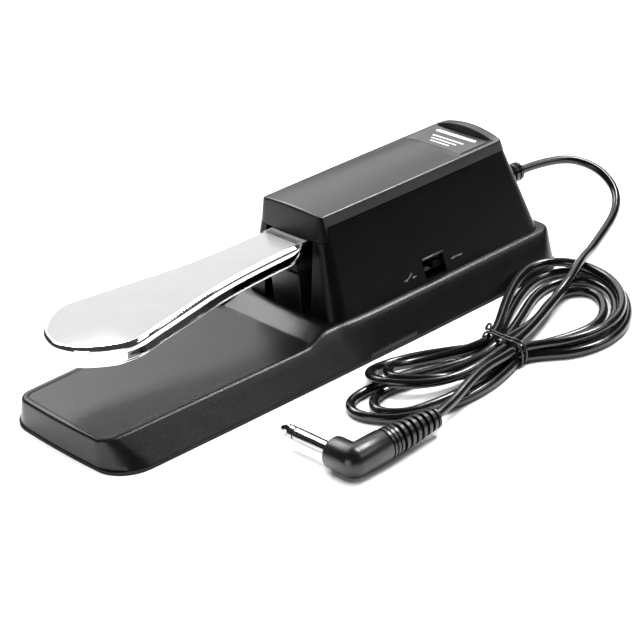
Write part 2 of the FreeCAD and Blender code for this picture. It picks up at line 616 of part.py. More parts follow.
# ---------------------------------------------------------------- switch electronics
BOARD_TOP = D["board_z"] + D["board_t"]
board = new_body("circuit_board")
sk = sketch(board, "XY_Plane", D["board_z"])
add_polygon(sk, [(-9, 54.2), (25.6, 54.2), (25.6, 77), (-9, 77)])
for x, y in BOARD_SCREWS:
    add_circle(sk, x, y, 1.5)
pad(board, sk, "dims.board_t")
screws("board_screws", BOARD_SCREWS, BOARD_TOP, 2.4, 1.4, 1.1, 8.5, False)
switch = fuse("contact_switch_body", [
    box("contact_case", -3.2, 3.2, 56.4, 75.8, BOARD_TOP, BOARD_TOP + 10),
    box("contact_ear_a", 2.4, 3.2, 56.4, 58.4, BOARD_TOP + 10, BOARD_TOP + 12.2),
    box("contact_ear_b", -3.2, -2.4, 56.4, 58.4, BOARD_TOP + 10, BOARD_TOP + 12.2),
    rod("contact_button", 0, 66.0, BOARD_TOP + 10, 1.2, 0.6)])
node(switch, "contact_switch")
LEAF_TILT = 18.0
leaf = box("contact_leaf_strip", -2, 2, 0, 14.4, 0, 0.4)
leaf_pin = rod("contact_leaf_roll", -2, 0, 0.2, 0.5, 4, "x")
leaf_all = fuse("contact_leaf_blank", [leaf, leaf_pin])
leaf_all.Placement = Placement(Vector(0, 57.4, BOARD_TOP + 10.9), Rotation(Vector(1, 0, 0), LEAF_TILT))
node(leaf_all, "contact_leaf")

slide_y0, slide_y1 = 50.4, 67.0
slide_case = cut("slide_case", box("slide_block", 20.5, 26.4, slide_y0, slide_y1, 20.2, "dims.board_z"),
                 [box("slide_slot", 23.0, 30.0, 54.6, 62.6, 21.9, 26.1)])
node(slide_case, "slide_switch_case")
slide_frame = cut("slide_face", box("slide_sheet", 26.4, 27.0, slide_y0, slide_y1, 20.2, 27.6),
                  [box("slide_gap", 24.0, 30.0, 54.9, 62.3, 22.0, 26.0)])
node(slide_frame, "slide_switch_frame")
knob = fuse("slide_knob_body", [
    box("knob_stem", 23.4, 30.9, "dims.knob_y - dims.knob_half", "dims.knob_y + dims.knob_half", 22.4, 25.6),
    box("knob_tip", 27.6, 30.9, "dims.knob_y - dims.knob_half - 0.5", "dims.knob_y + dims.knob_half + 0.5",
        22.1, 25.9)])
node(knob, "slide_knob")

# ---------------------------------------------------------------- cord entry
clamp = cut("clamp_blank_cut", box("clamp_bar", -9, 9, 110.8, 116.2, "dims.cord_z", "dims.cord_z + 4.4"),
            [rod("clamp_groove", 0, 100, "dims.cord_z", "dims.cord_r + 0.02", 30, "y")]
            + [rod(f"clamp_hole{i}", x, y, "dims.cord_z - 1", 1.5, 10) for i, (x, y) in enumerate(CLAMP_SCREWS)])
node(clamp, "cord_clamp")
screws("clamp_screws", CLAMP_SCREWS, D["cord_z"] + 4.4, 2.4, 1.4, 1.1, 10.0, False)
relief = cut("boot_cut", fuse("boot_blank", [
    rod("boot_flange", 0, 118.6, "dims.cord_z", 6.6, 2.4, "y"),
    rod("boot_neck", 0, 121.0, "dims.cord_z", 4.2, 7.4, "y"),
    rod("boot_collar", 0, 128.4, "dims.cord_z", 6.2, 2.6, "y"),
    cone("boot_cone", 0, 131.0, "dims.cord_z", 5.3, 4.7, "dims.boot_end - 131", "y"),
]), [rod("boot_bore", 0, 100, "dims.cord_z", "dims.cord_r + 0.02", 60, "y")]
    + [cut(f"boot_rib{i}", rod(f"boot_rib_o{i}", 0, 133.4 + 3.2 * i, "dims.cord_z", 7, 1.2, "y"),
           [rod(f"boot_rib_i{i}", 0, 130, "dims.cord_z", 4.2, 20, "y")]) for i in range(4)])
node(relief, "strain_relief")
node(rod("cord_inner", 0, 106.5, "dims.cord_z", "dims.cord_r", 28.5, "y"), "cord_inner")
wires = []
for side in (-1, 1):
    route = [(side * 1.0, 106.0, 33.0), (side * 1.0 - 2.4, 92.0, 27.2), (side * 1.0 - 5.4, 80.5, 32.2),
             (side * 1.0 - 5.6, 68.5, 30.5)]
    wires.append(tube(f"wire{'ab'[side > 0]}", route, 0.65))
group("wire_leads", wires)

# ---------------------------------------------------------------- cord, hank and plug
CORD_ROUTE = [(0.0, 135.0, 33.0), (0.0, 170.8, 33.0), (18.1, 185.8, 25.0), (38.3, 179.2, 12.2),
              (51.3, 142.2, 4.7), (61.7, 122.6, 6.6)]
node(tube("cord_run", CORD_ROUTE, "dims.cord_r"), "cord_run")

HANK_OUT = [(56.0, 124.5), (66.0, 129.0), (78.0, 128.0), (90.0, 122.0), (103.0, 111.0), (112.5, 98.0),
            (117.5, 82.0), (115.0, 68.0), (107.0, 56.5), (101.5, 46.0), (104.0, 32.0), (107.0, 14.0),
            (105.5, -5.0), (100.0, -22.0), (90.0, -33.5), (78.0, -36.0), (68.0, -31.0), (62.5, -20.0),
            (57.5, -8.0), (56.5, 6.0), (62.0, 22.0), (69.5, 35.0), (75.5, 46.0), (72.0, 58.0),
            (60.0, 74.0), (50.5, 92.0), (47.2, 108.0), (49.0, 118.0)]
HANK_HOLE = [(70.0, 112.0), (81.0, 109.0), (92.0, 101.0), (98.0, 92.0), (97.0, 80.0), (91.0, 66.0),
             (83.0, 77.0), (75.0, 92.0), (68.5, 104.0)]
hank = new_body("cord_hank")
sk = sketch(hank, "XY_Plane", D["hank_z0"])
for ring_points in (HANK_OUT, HANK_HOLE):
    curve = Part.BSplineCurve()
    curve.interpolate([Vector(x, y, 0) for x, y in ring_points], PeriodicFlag=True)
    sk.addGeometry(curve, False)
pad(hank, sk, "dims.hank_h")
fillet_where(hank, 2.2, lambda b: b.ZMax - b.ZMin < 0.01 and b.DiagonalLength > 20)
TIE_Y0, TIE_Y1 = 44.0, 46.6
tie_block = box("tie_block", 74.2, 102.8, TIE_Y0, TIE_Y1, 0.05, "dims.hank_z0 + dims.hank_h + 0.75")
tie_core = doc.addObject("Part::Cut", "tie_core")
tie_core.Base = tie_block
tie_core.Tool = hank
tie_core.Refine = True
tie = fuse("wire_tie_body", [tie_core, box("tie_tail", 102.4, 112.0, TIE_Y0 + 0.5, TIE_Y1 - 0.5, 0.1, 1.0)])
node(tie, "wire_tie")

PLUG_TURN = 181.0
PLUG_SPOT = (115.0, -67.0)
PLUG_ARM, PLUG_PLAIN, PLUG_REACH = 12.4, 17.0, 46.0
plug_place = Placement(Vector(PLUG_SPOT[0], PLUG_SPOT[1], D["plug_z"]), Rotation(Vector(0, 0, 1), PLUG_TURN))


def plug_piece(obj, label):
    """Plug pieces are drawn along +x from the elbow and turned into place together."""
    obj.Placement = plug_place
    bind(obj, "Placement.Base.z", "dims.plug_z")
    return node(obj, label)


# in plug axes the contact barrel runs to +x and the cord leaves to -y, which lands near +y in the room
elbow = doc.addObject("Part::Sphere", "handle_elbow")
bind(elbow, "Radius", "dims.plug_r")
RIBS = 8
rib_step = (PLUG_REACH - PLUG_PLAIN - 2.0) / RIBS
handle = cut("plug_handle_cut", fuse("plug_handle_blank", [
    elbow,
    rod("handle_barrel", 0, 0, 0, "dims.plug_r", PLUG_ARM - 1.2, "x"),
    cone("handle_nose", PLUG_ARM - 1.2, 0, 0, "dims.plug_r", "dims.plug_r - 1", 1.2, "x"),
    rod("handle_shoulder", 0, -PLUG_PLAIN, 0, "dims.plug_r", PLUG_PLAIN, "y"),
    cone("handle_relief", 0, -PLUG_REACH, 0, 4.2, 5.9, PLUG_REACH - PLUG_PLAIN, "y"),
    rod("handle_collar", 0, -PLUG_REACH, 0, 4.9, 1.6, "y"),
] + [rod(f"handle_rib{i}", 0, -PLUG_REACH + 2.6 + rib_step * i, 0, 5.2 + 0.24 * i, 2.1, "y") for i in range(RIBS)]),
    [rod("handle_bore", 0, -PLUG_REACH - 1, 0, "dims.cord_r + 0.02", 15.0, "y")])
plug_piece(handle, "plug_handle")
sleeve = cut("plug_sleeve_cut", fuse("plug_sleeve_blank", [
    rod("sleeve_collar", 12.4, 0, 0, 4.6, 1.8, "x"),
    rod("sleeve_barrel", 14.2, 0, 0, "dims.sleeve_r", 20.6, "x")]),
    [rod("sleeve_bore", 14.2, 0, 0, 2.2, 40.0, "x")])
plug_piece(sleeve, "plug_sleeve")
insulator = fuse("plug_insulator_blank", [rod("insulator_ring", 34.8, 0, 0, "dims.sleeve_r - 0.4", 1.2, "x"),
                                          rod("insulator_core", 14.2, 0, 0, 2.2, 20.6, "x")])
insulator_cut = cut("plug_insulator_cut", insulator, [rod("insulator_bore", 10, 0, 0, 1.2, 40, "x")])
plug_piece(insulator_cut, "plug_insulator")
tip = fuse("plug_tip_blank", [
    rod("tip_rod", 14.2, 0, 0, 1.2, 22.0, "x"),
    cone("tip_back", 36.0, 0, 0, 3.0, 3.1, 2.4, "x"),
    cone("tip_waist_a", 38.4, 0, 0, 3.1, 2.3, 1.4, "x"),
    cone("tip_waist_b", 39.8, 0, 0, 2.3, 2.9, 1.2, "x"),
    cone("tip_nose", 41.0, 0, 0, 2.9, 1.2, 3.6, "x")])
plug_piece(tip, "plug_tip")
tail_end = plug_place.multVec(Vector(0, -PLUG_REACH, 0))
tail_way = plug_place.multVec(Vector(0, -PLUG_REACH - 16.0, 0))
TAIL_ROUTE = [(tail_end.x, tail_end.y, tail_end.z), (tail_way.x, tail_way.y, tail_way.z), (105.2, 14.0, 6.4)]
node(tube("cord_tail", TAIL_ROUTE, "dims.cord_r"), "cord_tail")

# ---------------------------------------------------------------- checks and export
doc.recompute()
problems = []
for obj in doc.Objects:
    if "Invalid" in obj.State or "Error" in obj.State:
        problems.append(f"{obj.Label}: {obj.State}")
for obj in NODES:
    if obj.Shape.isNull() or not obj.Shape.isValid() or not obj.Shape.Solids:
        problems.append(f"{obj.Label}: bad shape")
for text in problems:
    print("PROBLEM", text)
if problems:
    raise RuntimeError("the model did not rebuild cleanly")
os.makedirs("parts", exist_ok=True)
for obj in NODES:
    obj.Shape.exportStep(f"parts/{obj.Label}.step")
    bb = obj.Shape.BoundBox
    print(f"{obj.Label:20s} solids {len(obj.Shape.Solids)} x {bb.XMin:.1f}..{bb.XMax:.1f}"
          f" y {bb.YMin:.1f}..{bb.YMax:.1f} z {bb.ZMin:.2f}..{bb.ZMax:.2f} vol {obj.Shape.Volume:.0f}")
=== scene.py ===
import bpy
import bmesh
import math
from mathutils import Matrix, Vector


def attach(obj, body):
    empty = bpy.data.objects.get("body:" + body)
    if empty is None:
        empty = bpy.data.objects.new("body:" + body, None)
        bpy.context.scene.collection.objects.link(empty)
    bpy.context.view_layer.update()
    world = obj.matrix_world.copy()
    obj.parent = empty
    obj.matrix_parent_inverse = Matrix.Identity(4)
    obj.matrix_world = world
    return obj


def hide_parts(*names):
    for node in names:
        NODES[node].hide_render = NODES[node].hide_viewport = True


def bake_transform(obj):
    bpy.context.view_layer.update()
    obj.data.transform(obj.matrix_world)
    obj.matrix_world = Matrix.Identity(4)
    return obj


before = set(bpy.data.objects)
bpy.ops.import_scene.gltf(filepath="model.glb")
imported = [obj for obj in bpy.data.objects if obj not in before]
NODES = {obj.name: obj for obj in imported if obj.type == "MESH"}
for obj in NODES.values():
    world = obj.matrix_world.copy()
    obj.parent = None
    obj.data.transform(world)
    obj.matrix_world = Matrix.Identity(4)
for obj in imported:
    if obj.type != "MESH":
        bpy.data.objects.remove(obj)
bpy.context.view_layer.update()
MM = 0.001


# ---------------------------------------------------------------- camera and light
def camera_basis(azimuth, elevation, roll):
    """The camera's right, up and backward directions, from its angles in degrees."""
    a, e, r = (math.radians(v) for v in (azimuth, elevation, roll))
    back = Vector((math.sin(a) * math.cos(e), -math.cos(a) * math.cos(e), math.sin(e)))
    right = Vector((math.cos(a), math.sin(a), 0))
    up = back.cross(right)
    return (right * math.cos(r) + up * math.sin(r), up * math.cos(r) - right * math.sin(r), back)


AZIMUTH, ELEVATION, ROLL = 52.128, 26.162, -6.375
DISTANCE, SLIDE_X, SLIDE_Y = 1.02262, -0.00949, -0.00812
LENS_MM, SENSOR_MM = 124.40, 36.0
WORLD_TONE, WORLD_STRENGTH = (0.82, 0.83, 0.85, 1), 0.06
cam_x, cam_y, cam_z = camera_basis(AZIMUTH, ELEVATION, ROLL)
spot = cam_z * DISTANCE - cam_x * SLIDE_X - cam_y * SLIDE_Y
camera_data = bpy.data.cameras.new("camera")
camera_data.lens = LENS_MM
camera_data.sensor_width = SENSOR_MM
camera = bpy.data.objects.new("camera", camera_data)
camera.matrix_world = Matrix((
    (cam_x.x, cam_y.x, cam_z.x, spot.x), (cam_x.y, cam_y.y, cam_z.y, spot.y),
    (cam_x.z, cam_y.z, cam_z.z, spot.z), (0, 0, 0, 1)))
bpy.context.scene.collection.objects.link(camera)
bpy.context.scene.camera = camera
bpy.context.scene.view_settings.view_transform = "Standard"


def area_light(name, place, aim, width, height, watts, glossy=True):
    """A soft rectangular panel that the camera doesn't see."""
    data = bpy.data.lights.new(name, "AREA")
    data.shape = "RECTANGLE"
    data.size, data.size_y, data.energy = width, height, watts
    lamp = bpy.data.objects.new(name, data)
    lamp.location = place
    lamp.rotation_euler = (Vector(aim) - Vector(place)).to_track_quat("-Z", "Y").to_euler()
    lamp.visible_glossy = glossy
    lamp.visible_camera = False
    bpy.context.scene.collection.objects.link(lamp)


area_light("overhead", (0.06, 0.0, 0.78), (0.06, 0, 0), 0.8, 0.8, 11.5, glossy=False)
area_light("back_panel", (-1.22, 0.96, 0.95), (0, 0, 0.05), 2.0, 1.10, 12.5)
area_light("rim_strip", (0.05, 0.80, 1.22), (0, 0, 0.03), 0.6, 0.28, 21)
area_light("left_strip", (-0.95, 0.10, 0.94), (0, 0, 0.02), 0.8, 0.30, 9.5)
area_light("right_panel", (1.12, 1.0, 1.04), (0, -0.05, 0), 0.8, 0.34, 4.2)
area_light("front_fill", (0.25, -1.3, 0.32), (0, 0, 0.05), 0.8, 0.6, 5)

world = bpy.data.worlds.new("studio")
world.use_nodes = True
background = world.node_tree.nodes["Background"]
background.inputs["Color"].default_value = WORLD_TONE
background.inputs["Strength"].default_value = WORLD_STRENGTH
bpy.context.scene.world = world


# ---------------------------------------------------------------- materials
class Shade:
    """A node material that is built up from small procedural layers."""

    def __init__(self, name, rough, metallic=0.0, specular=0.5):
        self.mat = bpy.data.materials.new(name)
        self.mat.use_nodes = True
        self.tree = self.mat.node_tree
        self.bsdf = self.tree.nodes["Principled BSDF"]
        self.bsdf.inputs["Metallic"].default_value = metallic
        self.bsdf.inputs["Specular IOR Level"].default_value = specular
        self.bsdf.inputs["Roughness"].default_value = rough
        self.coords = self.tree.nodes.new("ShaderNodeTexCoord").outputs["Object"]
        self.normal = None

    def link(self, a, b):
        self.tree.links.new(a, b)

    def noise(self, scale, detail=4.0, rough=0.55, stretch=(1, 1, 1)):
        """Noise over the piece; scale is in features per metre."""
        mapping = self.tree.nodes.new("ShaderNodeMapping")
        mapping.inputs["Scale"].default_value = stretch
        self.link(self.coords, mapping.inputs["Vector"])
        node = self.tree.nodes.new("ShaderNodeTexNoise")
        node.inputs["Scale"].default_value = scale
        node.inputs["Detail"].default_value = detail
        node.inputs["Roughness"].default_value = rough
        self.link(mapping.outputs["Vector"], node.inputs["Vector"])
        return node.outputs["Fac"]

    def cells(self, scale, stretch=(1, 1, 1)):
        """Distance within small cells; scale is in cells per metre."""
        mapping = self.tree.nodes.new("ShaderNodeMapping")
        mapping.inputs["Scale"].default_value = stretch
        self.link(self.coords, mapping.inputs["Vector"])
        node = self.tree.nodes.new("ShaderNodeTexVoronoi")
        node.inputs["Scale"].default_value = scale
        self.link(mapping.outputs["Vector"], node.inputs["Vector"])
        return node.outputs["Distance"]

    def ramp(self, value, low, high, at=(0.3, 0.7)):
        """Colour or grey ramp between two values."""
        node = self.tree.nodes.new("ShaderNodeValToRGB")
        for stop, place, tone in zip(node.color_ramp.elements, at, (low, high)):
            stop.position = place
            stop.color = (*tone, 1) if hasattr(tone, "__len__") else (tone, tone, tone, 1)
        self.link(value, node.inputs["Fac"])
        return node.outputs["Color"]

    def colour(self, value, low, high, at=(0.3, 0.7)):
        self.link(self.ramp(value, low, high, at), self.bsdf.inputs["Base Color"])
        return self

    def worn(self, value, low, high, at=(0.3, 0.7)):
        self.link(self.ramp(value, low, high, at), self.bsdf.inputs["Roughness"])
        return self

    def bump(self, value, depth, strength=1.0):
        node = self.tree.nodes.new("ShaderNodeBump")
        node.inputs["Strength"].default_value = strength
        node.inputs["Distance"].default_value = depth
        self.link(value, node.inputs["Height"])
        if self.normal is not None:
            self.link(self.normal, node.inputs["Normal"])
        self.normal = node.outputs["Normal"]
        self.link(self.normal, self.bsdf.inputs["Normal"])
        return self


def moulded(name, dark, light, rough_low, rough_high, grain, depth, specular=0.5):
    """Black moulding with a spark-eroded texture, faint flow marks and finger wear."""
    s = Shade(name, rough_high, specular=specular)
    s.colour(s.noise(90, 6), dark, light)
    s.worn(s.noise(38, 5, 0.6), rough_low, rough_high)
    s.bump(s.noise(grain, 2, 0.5), depth)
    s.bump(s.noise(45, 2), depth * 1.5, 0.5)
    return s.mat


def metal(name, dark, light, rough_low, rough_high, depth, stretch=(1, 1, 1), scale=600,
          metallic=1.0):
    """Metal with fine marks, which run along an axis where stretch isn't even."""
    s = Shade(name, rough_high, metallic=metallic)
    s.colour(s.noise(60, 4), dark, light)
    s.worn(s.noise(scale, 4, 0.6, stretch), rough_low, rough_high)
    s.bump(s.noise(scale * 2, 3, 0.5, stretch), depth)
    return s.mat


def soft(name, dark, light, rough, grain, depth):
    """Matt surface with a cellular grain: rubber, felt, nylon, ink."""
    s = Shade(name, rough, specular=0.35)
    s.colour(s.noise(grain * 0.4, 5), dark, light)
    s.worn(s.noise(120, 3), rough - 0.08, rough + 0.04)
    s.bump(s.cells(grain), depth)
    return s.mat


def film(name):
    """Thin glossy black label film."""
    s = Shade(name, 0.3, specular=0.5)
    s.colour(s.noise(150, 4), (0.016, 0.016, 0.018), (0.026, 0.026, 0.028))
    s.worn(s.noise(60, 4), 0.24, 0.34)
    s.bump(s.noise(900, 2), 0.00001)
    return s.mat


def laminate(name):
    """Green board with darker copper runs under the mask."""
    s = Shade(name, 0.35, specular=0.5)
    s.colour(s.cells(420, (1, 2.2, 1)), (0.012, 0.09, 0.03), (0.03, 0.2, 0.075), (0.2, 0.26))
    s.worn(s.noise(200, 3), 0.28, 0.42)
    s.bump(s.cells(420, (1, 2.2, 1)), 0.00004)
    return s.mat


def skin(name, dark, light, rough_low, rough_high):
    """Glossy extruded PVC with faint streaks and dust."""
    s = Shade(name, rough_high, specular=0.55)
    s.colour(s.noise(160, 5), dark, light)
    s.worn(s.noise(220, 4, 0.6), rough_low, rough_high)
    s.bump(s.noise(500, 2), 0.000006)
    return s.mat


MATERIALS = {
    "base_black": moulded("base_black", 0.002, 0.004, 0.27, 0.33, 1900, 0.00008, 0.33),
    "housing_black": moulded("housing_black", 0.0012, 0.0022, 0.22, 0.27, 2200, 0.000008, 0.09),
    "lid_black": moulded("lid_black", 0.005, 0.008, 0.27, 0.33, 2400, 0.00004, 0.60),
    # painted shade: a darker, duller copy of lid_black for the lid's front face
    "lid_front": moulded("lid_front", 0.002, 0.004, 0.27, 0.33, 2400, 0.00004, 0.22),
    "sole_rubber": soft("sole_rubber", 0.004, 0.009, 0.78, 1500, 0.00008),
    "plain_steel": metal("plain_steel", 0.42, 0.5, 0.32, 0.44, 0.00002, (1, 12, 1)),
    "spring_steel": metal("spring_steel", 0.38, 0.46, 0.22, 0.34, 0.00002, scale=1400),
    "fastener": metal("fastener", 0.36, 0.46, 0.26, 0.4, 0.00003, scale=1200),
    "chrome": metal("chrome", 0.90, 0.93, 0.06, 0.10, 0.000002, scale=300),
    "nickel": metal("nickel", 0.38, 0.44, 0.08, 0.16, 0.000006, (1, 6, 1), scale=900),
    "nylon": soft("nylon", 0.55, 0.66, 0.45, 900, 0.00003),
    "felt": soft("felt", 0.010, 0.03, 0.9, 2600, 0.0002),
    "label": film("label"),
    "board": laminate("board"),
    "switch_plastic": moulded("switch_plastic", 0.001, 0.002, 0.34, 0.44, 2800, 0.00002, 0.12),
    "cord_pvc": skin("cord_pvc", 0.0015, 0.003, 0.16, 0.24),
    "wire_pvc": skin("wire_pvc", (0.30, 0.012, 0.01), (0.42, 0.03, 0.02), 0.34, 0.44),
    "tie_pvc": skin("tie_pvc", 0.004, 0.008, 0.22, 0.34),
    # painted reflection: a light, nearly non-metal grey for the lever's flat top, in place of the
    # chrome's bright reflection
    "chrome_top_painted_reflection": metal("chrome_top_painted_reflection", 0.225, 0.24, 0.14, 0.18, 0.000002, scale=300, metallic=0.08),
    # painted reflection: a darker chrome for the dark band along the lever's leaning side walls
    "chrome_side_painted_dark_reflection": metal("chrome_side_painted_dark_reflection", 0.10, 0.12, 0.05, 0.09, 0.000002, scale=300),
    "print_white": soft("print_white", 0.6, 0.7, 0.5, 900, 0.00001),
    "print_grey": soft("print_grey", 0.12, 0.16, 0.5, 900, 0.00001),
    "plug_black": skin("plug_black", 0.0015, 0.003, 0.28, 0.36),
    "insulator": skin("insulator", 0.005, 0.009, 0.28, 0.38),
}
# every CAD node gets the material that is named like its slot
for node in NODES.values():
    slot_names = [m.name.split(".")[0] for m in node.data.materials if m]
    for i in range(len(node.data.materials)):
        node.data.materials[i] = MATERIALS[slot_names[0]]


def finish_piece(obj, slot_name, body, *nodes, look=None):
    """Gives the piece the material named by its slot, or by look where that is given, if it has none
    yet; puts it under its body and hides the CAD nodes that it stands for."""
    if not obj.data.materials:
        obj.data.materials.append(MATERIALS[look or slot_name])
    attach(obj, body)
    if nodes:
        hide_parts(*nodes)
    return obj


def new_object(name, bm, sharp=35):
    """An object from a bmesh in mm, smooth apart from creases sharper than the angle."""
    bmesh.ops.recalc_face_normals(bm, faces=bm.faces)
    bmesh.ops.scale(bm, vec=(MM, MM, MM), verts=bm.verts)
    mesh = bpy.data.meshes.new(name)
    bm.to_mesh(mesh)
    bm.free()
    mesh.shade_smooth()
    mesh.set_sharp_from_angle(angle=math.radians(sharp))
    obj = bpy.data.objects.new(name, mesh)
    bpy.context.scene.collection.objects.link(obj)
    return obj


def smooth(t):
    """Smooth step from 0 to 1."""
    t = min(max(t, 0.0), 1.0)
    return t * t * (3 - 2 * t)


def lerp(a, b, t):
    return tuple(p + (q - p) * t for p, q in zip(a, b))


# radii of the base's bulged sides and ends, and how far in from an end its curve fades out
SIDE_BULGE, END_BULGE, END_FADE = 8132.0, 592.0, 12.0


class Plan:
    """A closed row of stations round a rounded rectangle with bulged sides, seen from above."""

    def __init__(self, side_stops, corner=8, end=16):
        self.side_stops, self.corner, self.end = side_stops, corner, end
        self.count = 2 * (len(side_stops) - 1) + 2 * end + 4 * corner

    def points(self, hx, y0, y1, r0, r1, side_r=SIDE_BULGE, end_r=END_BULGE, side_cy=0.0,
               widen=None):
        """The row for a half width, two ends, two corner radii and the bulges' radii;
        widen(y) scales the width."""
        def arc(cx, cy, r, a0):
            return [(cx + r * math.cos(math.radians(a0 + 90 * k / self.corner)),
                     cy + r * math.sin(math.radians(a0 + 90 * k / self.corner)))
                    for k in range(self.corner)]

        low, high = y0 + r0, y1 - r1
        stops = [low + (high - low) * f for f in self.side_stops]
        row = [(hx, y) for y in stops[:-1]] + arc(hx - r1, high, r1, 0)
        row += [(hx - r1 - 2 * (hx - r1) * k / self.end, y1) for k in range(self.end)]
        row += arc(-hx + r1, high, r1, 90)
        row += [(-hx, y) for y in reversed(stops[1:])] + arc(-hx + r0, low, r0, 180)
        row += [(-hx + r0 + 2 * (hx - r0) * k / self.end, y0) for k in range(self.end)]
        row += arc(hx - r0, low, r0, 270)
        bulged = []
        for x, y in row:
            end_share = ((y - (y0 + y1) / 2) / ((y1 - y0) / 2)) ** 4
            sag = x * x / (2 * end_r) * end_share
            wide = x * (1 - (y - side_cy) ** 2 / (2 * side_r * hx))
            if widen:
                wide *= widen(y)
            bulged.append((wide, y + sag if y < (y0 + y1) / 2 else y - sag))
        return bulged

    def fill(self, bm, ring, height=None, columns=None):
        """Grid over the plan inside a ring of vertices; height(x, y) sets z inside, and columns
        are the places of the grid's lines from left to right."""
        n, e, c = len(self.side_stops) - 1, self.end, self.corner
        corner = 2 * n + 3 * c + e          # station at the front left corner
        front = [ring[(corner + j) % self.count] for j in range(e + 1)]
        right = [ring[(corner + e + j) % self.count] for j in range(c + n + c + 1)]
        left = [ring[(corner - j) % self.count] for j in range(c + n + c + 1)]
        rear = [ring[(n + c + e - j) % self.count] for j in range(e + 1)]
        f, r = front[0].co, rear[0].co
        rows = [front]
        for i in range(1, len(right) - 1):
            a, b = left[i].co, right[i].co
            line = [left[i]]
            for j in range(1, e):
                t = columns[j] if columns else j / e
                x, y, z = lerp(a, b, t)
                near = max(0.0, 1 - (y - f.y) / END_FADE) if y < (f.y + r.y) / 2 else 0.0
                far = max(0.0, 1 - (r.y - y) / END_FADE) if y > (f.y + r.y) / 2 else 0.0
                y += near * (front[j].co.y - f.y) + far * (rear[j].co.y - r.y)
                line.append(bm.verts.new((x, y, height(x, y) if height else z)))
            line.append(right[i])
            rows.append(line)
        rows.append(rear)
        for a, b in zip(rows, rows[1:]):
            for j in range(e):
                bm.faces.new((a[j], a[j + 1], b[j + 1], b[j]))


def bridge(bm, rings, closed=True):
    """Quads between neighbouring rings, or between open rows."""
    for a, b in zip(rings, rings[1:]):
        for i in range(len(a) if closed else len(a) - 1):
            j = (i + 1) % len(a)
            bm.faces.new((a[i], a[j], b[j], b[i]))


def inward(points):
    """Unit normals that point into a closed anticlockwise row."""
    out = []
    for i in range(len(points)):
        (ax, ay), (bx, by) = points[i - 1], points[(i + 1) % len(points)]
        d = math.hypot(bx - ax, by - ay)
        out.append((-(by - ay) / d, (bx - ax) / d))
    return out


def bevelled_block(bm, x0, x1, y0, y1, z0, z1, r, segments=3):
    """A block between two corners with its edges rounded by r."""
    made = bmesh.ops.create_cube(bm, size=1.0)["verts"]
    for v in made:
        v.co = Vector(((x0 + x1) / 2 + v.co.x * (x1 - x0), (y0 + y1) / 2 + v.co.y * (y1 - y0),
                       (z0 + z1) / 2 + v.co.z * (z1 - z0)))
    edges = {e for v in made for e in v.link_edges}
    bmesh.ops.bevel(bm, geom=list(edges), offset=r, segments=segments, profile=0.5, affect="EDGES")


# ---------------------------------------------------------------- base moulding
# heights of the foot, the plate's rim, the deck and the plate inside its rim (mm)
FOOT_Z, PLATE_Z, DECK_Z, PANEL_Z = 1.5, 15.0, 18.0, 14.4
PLATE_HALF = 33.0
FOOT_WALL, RIM_WALL, PANEL_WALL = 3.2, 3.4, 2.6
STOP_TOWER = (-10, 10, -4.6, 8, PANEL_Z - 1, 37.2)
# (y, height) of the plate, from the panel up the ramp to the deck
RAMP = [(-18.8, PANEL_Z), (-17.8, 14.48), (-16.6, 14.86), (-9.0, 17.36), (-7.6, 17.75),
        (-6.2, 17.95), (-5.0, DECK_Z)]
# (y, half width) of the rim
RIM_HALF = [(-134, 33.4), (-115, 33.9), (-70, 34.8), (-26, 35.8), (-18, 35.2), (-12, 34.4),
            (-5, 34.2), (2, 35.3), (10, 36.1), (30, 36.4), (60, 36.1), (134, 35.2)]
# the rim's rounding, and how it drops into the plate: (distance in from it, share of the drop)
RIM_ROUND = (0, 0.2, 0.4, 0.6, 0.8, 1.0)
RIM_DROP = ((0.45, 0), (0.75, 0.03), (1.0, 0.15), (1.2, 0.5), (1.35, 0.85), (1.6, 0.97), (1.95, 1.0))


def along(table, t):
    """Smooth curve through (place, value) knots, level beyond both ends."""
    if t <= table[0][0] or t >= table[-1][0]:
        return table[0][1] if t <= table[0][0] else table[-1][1]
    i = next(k for k in range(len(table) - 1) if t <= table[k + 1][0])
    (a, va), (b, vb) = table[i], table[i + 1]

    def slope(k):
        if k in (0, len(table) - 1):
            return 0.0
        return (table[k + 1][1] - table[k - 1][1]) / (table[k + 1][0] - table[k - 1][0])

    u, span = (t - a) / (b - a), b - a
    return (va * (1 + 2 * u) * (1 - u) ** 2 + slope(i) * span * u * (1 - u) ** 2
            + vb * u * u * (3 - 2 * u) + slope(i + 1) * span * u * u * (u - 1))


def rim_rise(y):
    """Share of the rise from the plate to the deck."""
    return smooth((y + 24.0) / 15.0)


def rim_width(y):
    """The rim draws in while it rises to the deck and moves out again beyond it."""
    return along(RIM_HALF, y) / (PLATE_HALF - y * y / (2 * SIDE_BULGE))


def plate_height(y, drop=0.0):
    return along(RAMP, y) - drop


def even_stops(*spans):
    """Side stations from (start, end, step) spans, as fractions of the whole."""
    places = [spans[0][0]]
    for start, end, step in spans:
        n = max(1, round((end - start) / step))
        places += [start + (end - start) * k / n for k in range(1, n + 1)]
    return [(p - places[0]) / (places[-1] - places[0]) for p in places]


base_plan = Plan(even_stops((-127, -34, 4), (-34, -25, 1.5), (-25, -4, 0.7), (-4, 14, 1.5),
                            (14, 127, 5)), corner=10, end=22)
bottom_row = base_plan.points(44.4, -135.1, 135.1, 17, 17)
rim_row = base_plan.points(PLATE_HALF, -134, 134, 7, 7, widen=rim_width)
rim_in, foot_in = inward(rim_row), inward(bottom_row)


